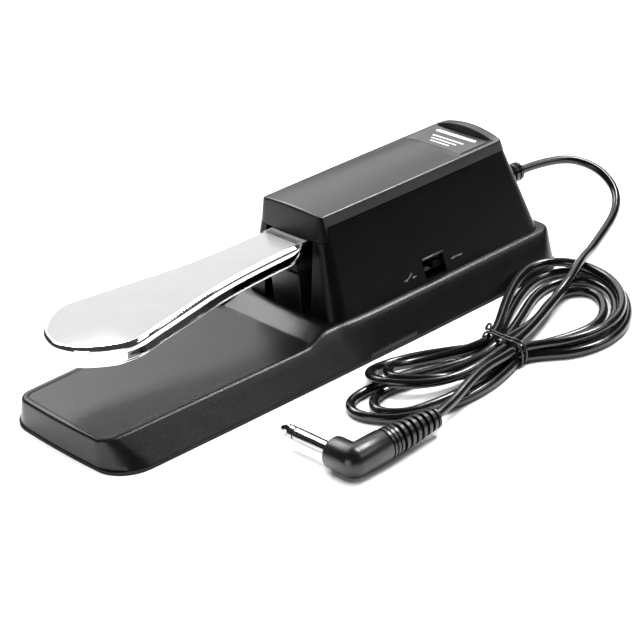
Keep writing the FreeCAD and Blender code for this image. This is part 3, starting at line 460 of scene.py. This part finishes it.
def base_station(i):
    """Profile of the moulding at one station, from the foot up over the rim and into the plate."""
    (bx, by), (rx, ry) = bottom_row[i], rim_row[i]
    nx, ny = rim_in[i]
    top = PLATE_Z + (DECK_Z - PLATE_Z) * rim_rise(ry)
    foot, rim = Vector((bx, by, FOOT_Z)), Vector((rx, ry, top))
    up = (rim - foot).normalized()
    r = 1.7 + 0.7 * rim_rise(ry)
    start, stop = rim - up * r, rim + Vector((nx, ny, 0)) * r
    rows = [foot + Vector((nx, ny, 0)) * 0.25, foot + up * 0.3]
    rows += [foot.lerp(start, t) for t in (0.2, 0.4, 0.6, 0.8)]
    rows += [start.lerp(rim, t).lerp(rim.lerp(stop, t), t) for t in RIM_ROUND]
    depth = top - plate_height(ry)
    for d, drop in RIM_DROP:
        rows.append(Vector((rx + nx * (r + d), ry + ny * (r + d), top - depth * drop)))
    return rows


def inset_ring(bm, row, normals, inset, height):
    """A ring of vertices inside a row; height(y) sets z."""
    return [bm.verts.new((x + nx * inset, y + ny * inset, height(y)))
            for (x, y), (nx, ny) in zip(row, normals)]


bm = bmesh.new()
stations = [base_station(i) for i in range(base_plan.count)]
rings = [[bm.verts.new(station[k]) for station in stations] for k in range(len(stations[0]))]
bridge(bm, rings)
base_plan.fill(bm, rings[-1], lambda x, y: plate_height(y))
foot_ring = inset_ring(bm, bottom_row, foot_in, FOOT_WALL, lambda y: FOOT_Z)
under_ring = inset_ring(bm, rim_row, rim_in, RIM_WALL, lambda y: plate_height(y, PANEL_WALL))
bridge(bm, [under_ring, foot_ring, rings[0]])
base_plan.fill(bm, under_ring, lambda x, y: plate_height(y, PANEL_WALL))
bevelled_block(bm, *STOP_TOWER, 0.8)
base = new_object("base_moulding", bm, 50)
finish_piece(base, "base_black", "chassis", "base_shell")

# ---------------------------------------------------------------- lid
# the housing's taper: values at its foot and at its top (mm)
HOUSE = {"z": (18.0, 59.0), "half": (33.0, 22.3), "front": (-5.4, 1.73), "rear": (130.0, 119.3),
         "r": (8.0, 4.5)}
HOUSE_BULGE = {"side_r": 5000.0, "end_r": 260.0, "side_cy": 62.0}
# the lid's top edge, its lower edge along the sides, and the apron's lower edge and depth
LID_TOP, SEAM_Z, APRON_Z, APRON_Y = 64.5, 59.5, 53.0, 4.85
LID_CORNER, EDGE_R, LID_WALL = 1.8, 0.9, 2.4
# rise of the crown at the front and at the rear, where it starts and how long it is, half width
CROWN, CROWN_Y, CROWN_LENGTH, CROWN_HALF = (1.4, 3.6), 2.6, 115.0, 20.4
# behind ARCH_Y the top's edge keeps the crown's height there, within ARCH_HALF of the middle
ARCH_Y, ARCH_HALF = 117.6, 19.5
# the label's recess: half width, front, rear and floor
LABEL = (18.6, 88.0, 112.0, 64.35)
LID_STEPS = (0, 0.03, 0.25, 0.54, 0.565, 0.65, 0.75, 0.8, 1.0)
EDGE_STEPS = (0, 0.2, 0.4, 0.6, 0.8, 1.0)
# columns of the top's grid, close together at the recess's long edges
LID_COLUMNS = [0.0, 0.036, 0.048] + [0.048 + 0.904 * k / 16 for k in range(1, 16)] + [0.952, 0.964, 1.0]
lid_plan = Plan(even_stops((2, 2.4, 0.4), (2.4, 87.6, 6), (87.6, 88.4, 0.4), (88.4, 111.8, 6),
                           (111.8, 112.6, 0.4), (112.6, 118, 1.2)), corner=6, end=20)


def house_row(plan, z, grow=0.0):
    """The housing's outline at a height, grown outward."""
    t = (z - HOUSE["z"][0]) / (HOUSE["z"][1] - HOUSE["z"][0])
    half, front, rear, r = (HOUSE[k][0] + (HOUSE[k][1] - HOUSE[k][0]) * t
                            for k in ("half", "front", "rear", "r"))
    if z > LID_TOP - 0.01:
        r = LID_CORNER
    return plan.points(half + grow, front - grow, rear + grow, r, r, **HOUSE_BULGE)


def lid_height(x, y):
    """Height of the crowned top, with the label's flat recess."""
    half_x, y0, y1, floor_z = LABEL
    if abs(x) < half_x and y0 < y < y1:
        return floor_z
    rise = CROWN[0] + (CROWN[1] - CROWN[0]) * (y - CROWN_Y) / CROWN_LENGTH
    return LID_TOP + rise * max(0.0, 1 - (x / CROWN_HALF) ** 2)


def lid_rings(bm, grow, top_drop):
    """Rings from the lid's lower edge to its top edge; grow is the offset from the housing's faces."""
    lower, upper = house_row(lid_plan, APRON_Z, grow), house_row(lid_plan, LID_TOP, grow)
    rows = []
    for t in LID_STEPS:
        row = []
        for (ax, ay), (bx, by) in zip(lower, upper):
            z0 = APRON_Z if ay < APRON_Y + 1.0 else SEAM_Z
            z1 = lid_height(bx, min(by, ARCH_Y) if abs(bx) < ARCH_HALF else by) - top_drop
            z = z0 + (z1 - z0) * t
            s = (z - APRON_Z) / (LID_TOP - APRON_Z)
            row.append(bm.verts.new((ax + (bx - ax) * s, ay + (by - ay) * s, z)))
        rows.append(row)
    return rows


bm = bmesh.new()
outer = lid_rings(bm, 0.03, 0.0)
top_row = [(v.co.x, v.co.y) for v in outer[-1]]
rounds = []
for edge, low, (nx, ny) in zip(outer[-1], outer[0], inward(top_row)):
    wall, flat = (low.co - edge.co).normalized() * EDGE_R, Vector((nx, ny, 0.12)) * EDGE_R
    rounds.append([edge.co + wall * (1 - t) ** 2 + flat * t * t for t in EDGE_STEPS])
edge_rings = [[bm.verts.new(column[k]) for column in rounds] for k in range(len(EDGE_STEPS))]
bridge(bm, outer[:-1] + edge_rings)
bmesh.ops.delete(bm, geom=outer[-1], context="VERTS")
lid_plan.fill(bm, edge_rings[-1], lid_height, LID_COLUMNS)
inner = lid_rings(bm, -LID_WALL, LID_WALL)
bridge(bm, [inner[k] for k in (8, 5, 2, 0)] + [outer[0]])
lid_plan.fill(bm, inner[8])
lid = new_object("lid_moulding", bm, 32)
for look in ("lid_black", "lid_front", "housing_black"):
    lid.data.materials.append(MATERIALS[look])
# painted shade: the front face gets a darker, duller copy of the lid's moulding, and the front corners
# and the apron's returns get the housing's duller black, which paints them as dark as the housing
for face in lid.data.polygons:
    at, n = face.center / MM, face.normal
    if at.y < APRON_Y + 2.0 and n.z < 0.7 and n.y < 0.5:
        if abs(n.x) > 0.25 and (at.z < SEAM_Z or abs(n.x) < 0.93):
            face.material_index = 2
        elif n.y < -0.9:
            face.material_index = 1
finish_piece(lid, "lid_black", "chassis", "lid")

# ---------------------------------------------------------------- lever
# half widths along the spoon, from the housing's mouth to the toe
SPOON = [(13.0, -1.0), (13.6, -20.0), (14.5, -36.0), (16.4, -51.5), (19.3, -65.5), (22.3, -79.0),
         (25.1, -92.0), (27.3, -101.5), (27.2, -108.0), (24.3, -114.6), (19.2, -121.0),
         (12.0, -126.9), (0.0, -130.0)]
LEVER_Z, LEVER_TILT = 52.26, 1.008
LEVER = Matrix.Translation((0, 0, LEVER_Z)) @ Matrix.Rotation(math.radians(LEVER_TILT), 4, "X")
# depth of the skirt, thickness of the sheet, and where the skirt starts and stops fading out
SKIRT, SHEET, SKIRT_FADE = 8.9, 1.5, (-9.6, -3.6)
SPOON_STEPS, SPOON_GUIDE_Y, SPOON_MID_Y = 10, 18.0, -60
TONGUE = (-12.4, 12.4, -4, 105, -1.5, 0)


def spoon_row():
    """The spoon's outline as a dense smooth row, from the rear right round the toe to the rear left."""
    knots = SPOON + [(-x, y) for x, y in reversed(SPOON[:-1])]
    knots = ([(2 * knots[0][0] - knots[1][0], SPOON_GUIDE_Y)] + knots
             + [(2 * knots[-1][0] - knots[-2][0], SPOON_GUIDE_Y)])
    row = []
    for a, b, c, d in zip(knots, knots[1:], knots[2:], knots[3:]):
        for k in range(SPOON_STEPS):
            t = k / SPOON_STEPS
            row.append(tuple(0.5 * (2 * q + (r - p) * t + (2 * p - 5 * q + 4 * r - s) * t * t
                                    + (3 * q - p - 3 * r + s) * t ** 3)
                             for p, q, r, s in zip(a, b, c, d)))
    return row + [knots[-2]]


def skirt_depth(y):
    """Depth of the skirt, which fades out in a quarter round before the mouth."""
    if y < SKIRT_FADE[0]:
        return SKIRT
    if y > SKIRT_FADE[1]:
        return SHEET
    t = (y - SKIRT_FADE[0]) / (SKIRT_FADE[1] - SKIRT_FADE[0])
    return SHEET + (SKIRT - SHEET) * math.sqrt(1 - t * t)


row = spoon_row()
normals = []
for i in range(len(row)):
    (ax, ay), (bx, by) = row[max(i - 1, 0)], row[min(i + 1, len(row) - 1)]
    d = math.hypot(bx - ax, by - ay)
    normals.append((-(by - ay) / d, (bx - ax) / d))
normals = [(nx, ny) if nx * -x + ny * (SPOON_MID_Y - y) > 0 else (-nx, -ny)
           for (nx, ny), (x, y) in zip(normals, row)]
# profiles of the lever's edge and skirt: (distance in from the outline, depth below the top)
ROUND, UNDERSIDE = 2.2, SHEET + 0.02
EDGE = [(ROUND * (1 - math.sin(math.radians(a))), ROUND * (1 - math.cos(math.radians(a))))
        for a in range(0, 79, 13)]
SIDE_WALL = EDGE + [(-0.15, 2.8), (-0.25, 3.3), (-0.26, 3.5), (-0.16, 3.75), (0.7, 5.8),
                    (1.52, 7.85), (1.56, 8.05), (1.36, 8.25), (1.2, 8.45), (1.2, 8.7), (1.45, 8.9)]
TOE_WALL = EDGE + [(-0.02, 2.8), (-0.05, 3.3), (-0.06, 3.5), (-0.08, 3.75), (-0.2, 5.8),
                   (-0.31, 7.85), (-0.32, 8.05), (-0.33, 8.25), (-0.34, 8.45), (-0.28, 8.7),
        (0.0, 8.9)]
INSIDE = [(3.0, UNDERSIDE), (2.2, 3.0), (2.4, 6.0), (2.6, SKIRT)]
# the skirt is a side wall where its normal points this much sideways, and a toe wall below that
FLANK_FROM, FLANK_SPAN = 0.84, 0.12


def skirt_point(p, n, side, toe, least):
    """A point of the skirt: the side wall leans under the spoon, the toe's wall stands upright.
    Where the skirt fades out, the point stays as deep as least, or as its profile if that is less."""
    flank = smooth((abs(n[0]) - FLANK_FROM) / FLANK_SPAN)
    scale = skirt_depth(p[1]) / SKIRT
    d, z = lerp(toe, side, flank)
    if z > ROUND:
        d *= scale
    return (p[0] + n[0] * d, p[1] + n[1] * d, -max(z * scale, min(z, least)))


bm = bmesh.new()
profile = [(point, point, UNDERSIDE) for point in INSIDE]
profile += [(side, toe, 0.0) for side, toe in zip(SIDE_WALL[::-1], TOE_WALL[::-1])]
rings = [[bm.verts.new(skirt_point(p, n, *stop)) for p, n in zip(row, normals)] for stop in profile]
bridge(bm, rings, closed=False)
for ring in (rings[-1], rings[0]):
    half = len(ring) // 2
    for i in range(half - 1):
        bm.faces.new((ring[i], ring[i + 1], ring[-2 - i], ring[-1 - i]))
    bm.faces.new((ring[half - 1], ring[half], ring[half + 1]))
bmesh.ops.remove_doubles(bm, verts=bm.verts, dist=0.0005)
bmesh.ops.holes_fill(bm, edges=[e for e in bm.edges if e.is_boundary], sides=0)
bevelled_block(bm, *TONGUE, 0.12, 1)
bmesh.ops.transform(bm, matrix=LEVER, verts=bm.verts)
lever = new_object("spoon_lever", bm, 40)
for look in ("chrome", "chrome_top_painted_reflection", "chrome_side_painted_dark_reflection"):
    lever.data.materials.append(MATERIALS[look])
# painted reflection: the flat top is a light, nearly non-metal grey that stands in for the chrome's
# bright reflection, and the side walls' leaning part is a darker chrome that paints in a dark
# reflection band
for face in lever.data.polygons:
    if face.normal.z > 0.995 and face.center.z > 0.0495:
        face.material_index = 1
    elif -0.55 < face.normal.z < -0.3 and abs(face.normal.x) > 0.6:
        face.material_index = 2
finish_piece(lever, "chrome", "lever", "pedal_lever")

# ---------------------------------------------------------------- return spring
# axis, radius, wire radius, ends and turns (mm), and the mesh's steps a turn and sides
COIL = {"y": 45.0, "r": 7.0, "wire": 0.7, "z": (20.7, 49.0), "turns": 7, "steps": 28, "sides": 10}


def coil_ring(bm, turn):
    """One round section of the spring's wire, after that many turns."""
    a = 2 * math.pi * turn
    centre = Vector((COIL["r"] * math.cos(a), COIL["y"] + COIL["r"] * math.sin(a),
                     COIL["z"][0] + (COIL["z"][1] - COIL["z"][0]) * turn / COIL["turns"]))
    out = Vector((math.cos(a), math.sin(a), 0))
    return [bm.verts.new(centre + (out * math.cos(b) + Vector((0, 0, 1)) * math.sin(b)) * COIL["wire"])
            for b in (2 * math.pi * k / COIL["sides"] for k in range(COIL["sides"]))]


bm = bmesh.new()
rings = [coil_ring(bm, k / COIL["steps"]) for k in range(COIL["turns"] * COIL["steps"] + 1)]
bridge(bm, rings)
bm.faces.new(rings[0])
bm.faces.new(rings[-1][::-1])
coil = new_object("spring_coil", bm)
coil.data.materials.append(MATERIALS["spring_steel"])
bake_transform(coil)
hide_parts("return_spring")

# ---------------------------------------------------------------- prints and window lip
def flat_shape(bm, outline, place, thick=0.12):
    """A thin raised print: outline in the local plane, place maps (u, v, w) to the room."""
    low = [bm.verts.new(place(u, v, -0.02)) for u, v in outline]
    high = [bm.verts.new(place(u, v, thick)) for u, v in outline]
    bm.faces.new(high)
    bm.faces.new(low[::-1])
    bridge(bm, [low, high])


def bar(u, v, length, height):
    """Outline of a bar with round ends about (u, v)."""
    r = height / 2
    ends = [(u + length / 2 - r + r * math.cos(a), v + r * math.sin(a))
            for a in (-1.57, -0.79, 0, 0.79, 1.57)]
    return ends + [(2 * u - x, 2 * v - y) for x, y in ends]


def stroke(a, b, wide):
    """Outline of a straight line between two points."""
    (ax, ay), (bx, by) = a, b
    d = math.hypot(bx - ax, by - ay)
    nx, ny = -(by - ay) / d * wide / 2, (bx - ax) / d * wide / 2
    return [(ax - nx, ay - ny), (bx - nx, by - ny), (bx + nx, by + ny), (ax + nx, ay + ny)]


def disc(u, v, r, n=16):
    return [(u + r * math.cos(6.2832 * k / n), v + r * math.sin(6.2832 * k / n)) for k in range(n)]


# bars on the label: middle (mm), length and height
BARS = ((0, 107.0, 27, 2.2), (0, 101.6, 21, 1.0), (0, 98.8, 17, 0.8), (0, 96.2, 13, 0.8))
BAR_Z, BAR_RAISED, MARK_RAISED = 64.66, 0.03, 0.06
# contact symbols beside the switch: y, z and how far the arm is lifted
SYMBOLS = ((43.3, 22.8, 2.0), (72.8, 23.3, 0.0))
WINDOW_LIP = (29.2, 31.3, 51.9, 65.5, 28.0, 29.0)


def label_at(u, v, w):
    """A place on the label's film."""
    return (u, v, BAR_Z + w)


def side_at(u, v, w):
    """A place on the housing's leaning and bulged side."""
    return (33.0 - 0.261 * (v - 18.0) - (u - 62) ** 2 / 10000 + w, u, v)


bm = bmesh.new()
for u, v, length, height in BARS:
    flat_shape(bm, bar(u, v, length, height), label_at, BAR_RAISED)
prints = new_object("label_print", bm)
finish_piece(prints, "label", "chassis", look="print_white")

bm = bmesh.new()
for middle, level, lift in SYMBOLS:
    for du in (-2.1, 2.1):
        lead = stroke((middle + du * 1.2, level), (middle + du * 1.8, level), 0.42)
        flat_shape(bm, disc(middle + du, level, 0.6), side_at, MARK_RAISED)
        flat_shape(bm, lead, side_at, MARK_RAISED)
    arm = stroke((middle - 1.7, level + 0.1), (middle + 1.7, level + 0.1 + lift), 0.5)
    flat_shape(bm, arm, side_at, MARK_RAISED)
marks = new_object("contact_marks", bm)
finish_piece(marks, "housing_black", "chassis", look="print_grey")

bm = bmesh.new()
bevelled_block(bm, *WINDOW_LIP, 0.3)
lip_piece = new_object("window_lip", bm)
finish_piece(lip_piece, "lid_black", "chassis")

# ---------------------------------------------------------------- plug


def lathe(bm, profile, matrix, segments=40):
    """Closed body of revolution: (distance along x, radius) pairs, placed by the matrix."""
    rings = []
    for x, r in profile:
        rings.append([bm.verts.new(matrix @ Vector((x, r * math.cos(a), r * math.sin(a))))
                      for a in (2 * math.pi * k / segments for k in range(segments))])
    bridge(bm, rings)
    bm.faces.new(rings[0])
    bm.faces.new(rings[-1][::-1])


# the head's axis runs to the barrel along x, and the relief's turns a right angle from it
PLUG = Matrix.Translation((115.0, -67.0, 7.3)) @ Matrix.Rotation(math.radians(181), 4, "Z")
RELIEF = PLUG @ Matrix.Rotation(math.radians(-90), 4, "Z")
PLUG_R = 7.2
quarter = [math.pi / 2 * k / 10 for k in range(11)]
ball = [(-PLUG_R * math.cos(a), max(PLUG_R * math.sin(a), 0.02)) for a in quarter]
# the relief's end is a little smaller, so that the two ends don't share a surface
inner_ball = [(x * 0.994, r * 0.994) for x, r in ball]
bm = bmesh.new()
lathe(bm, ball + [(11.3, PLUG_R), (11.8, 7.05), (12.2, 6.65), (12.4, 6.1), (12.4, 3.4)], PLUG)
relief = inner_ball + [(1.5, PLUG_R), (15.9, PLUG_R), (16.3, 7.0)]
# three fine rings, six ribs and the collar round the cord
for start, r in ((16.5, 6.95), (18.6, 6.85), (20.7, 6.75)):
    relief += [(start, r - 0.7), (start + 0.5, r - 0.7), (start + 0.62, r), (start + 1.9, r - 0.03)]
for k in range(6):
    start, r = 22.9 + 3.5 * k, 6.65 - 0.3 * k
    relief += [(start, r - 1.3), (start + 1.25, r - 1.35), (start + 1.4, r - 0.12), (start + 1.6, r),
               (start + 3.2, r - 0.12), (start + 3.4, r - 0.3)]
relief += [(43.9, 4.3), (44.5, 4.25), (44.6, 4.8), (44.8, 4.9), (45.8, 4.85), (46.0, 4.6), (46.0, 2.3)]
lathe(bm, relief, RELIEF)
handle = new_object("plug_grip", bm, 30)
finish_piece(handle, "cord_pvc", "chassis", "plug_handle", look="plug_black")


# ---------------------------------------------------------------- wire tie
def wire(name, points, radius, round_steps, run_steps):
    """A round wire on one smooth spline; the points are its control points, in mm."""
    curve = bpy.data.curves.new(name, "CURVE")
    curve.dimensions = "3D"
    curve.bevel_depth = radius * MM
    curve.bevel_resolution = round_steps
    curve.resolution_u = run_steps
    curve.use_fill_caps = True
    path = curve.splines.new("NURBS")
    path.points.add(len(points) - 1)
    for p, (x, y, z) in zip(path.points, points):
        p.co = (x * MM, y * MM, z * MM, 1)
    path.order_u = 3
    path.use_endpoint_u = True
    obj = bpy.data.objects.new(name, curve)
    bpy.context.scene.collection.objects.link(obj)
    return obj


TIE_R = 0.6
# a loose end on the floor, two turns round the bundle and a curled end on top
TIE = [(98.5, 34.5, 0.7), (100.6, 39.5, 0.7), (101.6, 43.0, 0.8), (101.5, 44.0, 3.5),
       (101.2, 44.2, 8.2), (98.6, 44.3, 10.6), (92.0, 44.2, 10.2), (84.5, 44.4, 10.4),
       (78.5, 45.0, 10.0), (75.2, 45.2, 6.5), (75.2, 45.2, 1.2), (80.0, 45.2, 0.62),
       (96.0, 45.4, 0.62), (101.0, 45.6, 1.0), (102.0, 46.2, 4.0), (101.6, 46.4, 8.6),
       (98.8, 46.2, 11.0), (92.0, 45.9, 10.6), (84.0, 45.8, 10.6), (78.2, 46.3, 10.6),
       (75.4, 47.3, 8.6), (75.0, 48.6, 10.0), (76.4, 49.0, 11.8), (78.6, 48.2, 11.6),
       (79.2, 47.0, 10.9)]
tie = wire("tie_wire", TIE, TIE_R, round_steps=4, run_steps=12)
finish_piece(tie, "tie_pvc", "chassis", "wire_tie")

# ---------------------------------------------------------------- cord
CORD_R = 2.2
# free stretch from the strain relief, up over the bundle and down to its waist (mm)
RUN = [
    (0, 135, 33), (0, 170.8, 33), (17.5, 186.2, 26), (37.3, 179.8, 13.6), (54, 140, 8.6),
    (60, 128, 10.6), (66, 117.5, 11.6), (71.5, 106.5, 10.6), (76, 91, 7.6), (82, 76, 6.8),
    (88.6, 60, 6.9)]
# places of the nine strands under the tie: x and z at WAIST_Y
WAIST_Y = 45.0
WAIST = {"a": (78.6, 2.6), "b": (83.3, 2.6), "c": (88.0, 2.6), "d": (92.8, 2.6), "e": (97.6, 2.6),
         "p": (81.0, 6.6), "q": (86.0, 6.6), "r": (91.8, 7.0), "s": (96.7, 6.9)}
# the four small loops towards the plug, in the order that the cord runs through them
SMALL = {
    1: [(94, 33, 7.2), (96, 19, 7.2), (94.5, 5, 7.4), (88, -7.5, 8.2), (76, -15, 8.4),
        (64.8, -14, 7.2),
        (56.5, -6, 4.2), (56, 7, 2.6), (62, 21, 2.5), (70.5, 33.5, 2.5)],
    2: [(101.8, 34.5, 2.5), (105.8, 19.5, 2.5), (106, 1, 2.5), (102.5, -15, 2.5), (95, -28.5, 2.5),
        (81, -35.5, 2.5), (69.5, -31.5, 2.5), (66, -19, 2.5), (70, -4, 2.5), (75.5, 10, 2.5),
        (80, 22, 2.5),
        (82.5, 34, 2.5)],
    3: [(96.8, 34, 2.5), (100.4, 19, 2.5), (100.2, 4, 2.5), (98.6, -9, 2.5), (95.5, -21, 2.5),
        (85, -28, 2.5),
        (75, -22, 2.5), (73.4, -10, 2.5), (78.2, 5, 2.5), (84.3, 20, 2.9), (86.5, 33, 4.6)],
    4: [(91.5, 33, 2.6), (92.5, 19, 3.4), (89.5, 6, 6.4), (82.5, -3.5, 7), (72.5, -8, 7),
        (63.6, -3, 6.2),
        (62.5, 8, 3.4), (67.5, 20, 2.6), (75.5, 33, 4)],
}
# the four big loops fan out between these two lines: 0 is the outer one and 1 the inner one
OUTER = [(74, 57), (61.5, 75), (51.3, 94), (47, 110), (52.5, 123.5), (66, 129), (84, 126), (102, 112.8),
         (113.8, 97), (117.6, 80), (113.8, 64.5), (103.6, 54)]
INNER = [(84.5, 57), (79, 76), (71, 93), (68.5, 105), (72, 113), (80, 114.5), (89.5, 108.5), (98, 99),
         (102.5, 88), (101.5, 76), (97.5, 64), (94.5, 54)]
FLOOR_Z = 2.5          # a strand's centre line on the floor
# share of the way from the outer line to the inner one, and height, at each point
BIG = {
    1: ([.05, .04, .02, 0, 0, .02, .05, .02, 0, 0, 0, 0], [FLOOR_Z] * 12),
    2: ([.5, .46, .42, .46, .52, .5, .44, .46, .52, .5, .5, .52], [FLOOR_Z] * 12),
    3: ([1, 1, .95, .95, 1.05, 1.08, 1, .95, .98, 1, 1, 1], [5.6, 3.2] + [FLOOR_Z] * 10),
    4: ([0, -.06, -.12, -.12, .02, .22, .26, .2, .2, .26, .28, .22],
        [7.4, 7.6, 8.4, 8.8, 7.6, 7, 6.9, 6.9, 6.9, 6.9, 6.9, 7]),
}
# over the bundle and into the plug's relief
TAIL = [(99, 34, 7.6), (102.2, 20, 9.6), (105.8, 7, 9), (110.2, -6, 7.6), (114.2, -21, 7.3),
        (114.1, -28, 7.3)]


def waist(key):
    """The point of one strand under the tie."""
    x, z = WAIST[key]
    return [(x, WAIST_Y, z)]


def big_loop(number):
    """The points of one big loop, between the outer and the inner line."""
    return [(ox + (ix - ox) * t, oy + (iy - oy) * t, z)
            for (ox, oy), (ix, iy), t, z in zip(OUTER, INNER, *BIG[number])]


cord_points = RUN + waist("r")
for number, (up_slot, down_slot) in enumerate(("ae", "bd", "qc", "ps"), start=1):
    cord_points += SMALL[number] + waist(up_slot) + big_loop(number) + waist(down_slot)
cord_points += TAIL

cord = wire("cord", cord_points, CORD_R, round_steps=6, run_steps=10)
finish_piece(cord, "cord_pvc", "chassis", "cord_run", "cord_hank", "cord_tail")

# ---------------------------------------------------------------- floor
FLOOR_HALF, FLOOR_DROP = 6.0, 0.00005
floor_mesh = bpy.data.meshes.new("floor")
corners = [(FLOOR_HALF * i, FLOOR_HALF * j, 0) for i, j in ((-1, -1), (1, -1), (1, 1), (-1, 1))]
floor_mesh.from_pydata(corners, [], [(0, 1, 2, 3)])
floor = bpy.data.objects.new("floor", floor_mesh)
floor.location.z = -FLOOR_DROP
bpy.context.scene.collection.objects.link(floor)
floor_shade = Shade("floor", 0.55, specular=0.2)
floor_shade.colour(floor_shade.noise(3, 3), 0.90, 0.93)
floor_mesh.materials.append(floor_shade.mat)
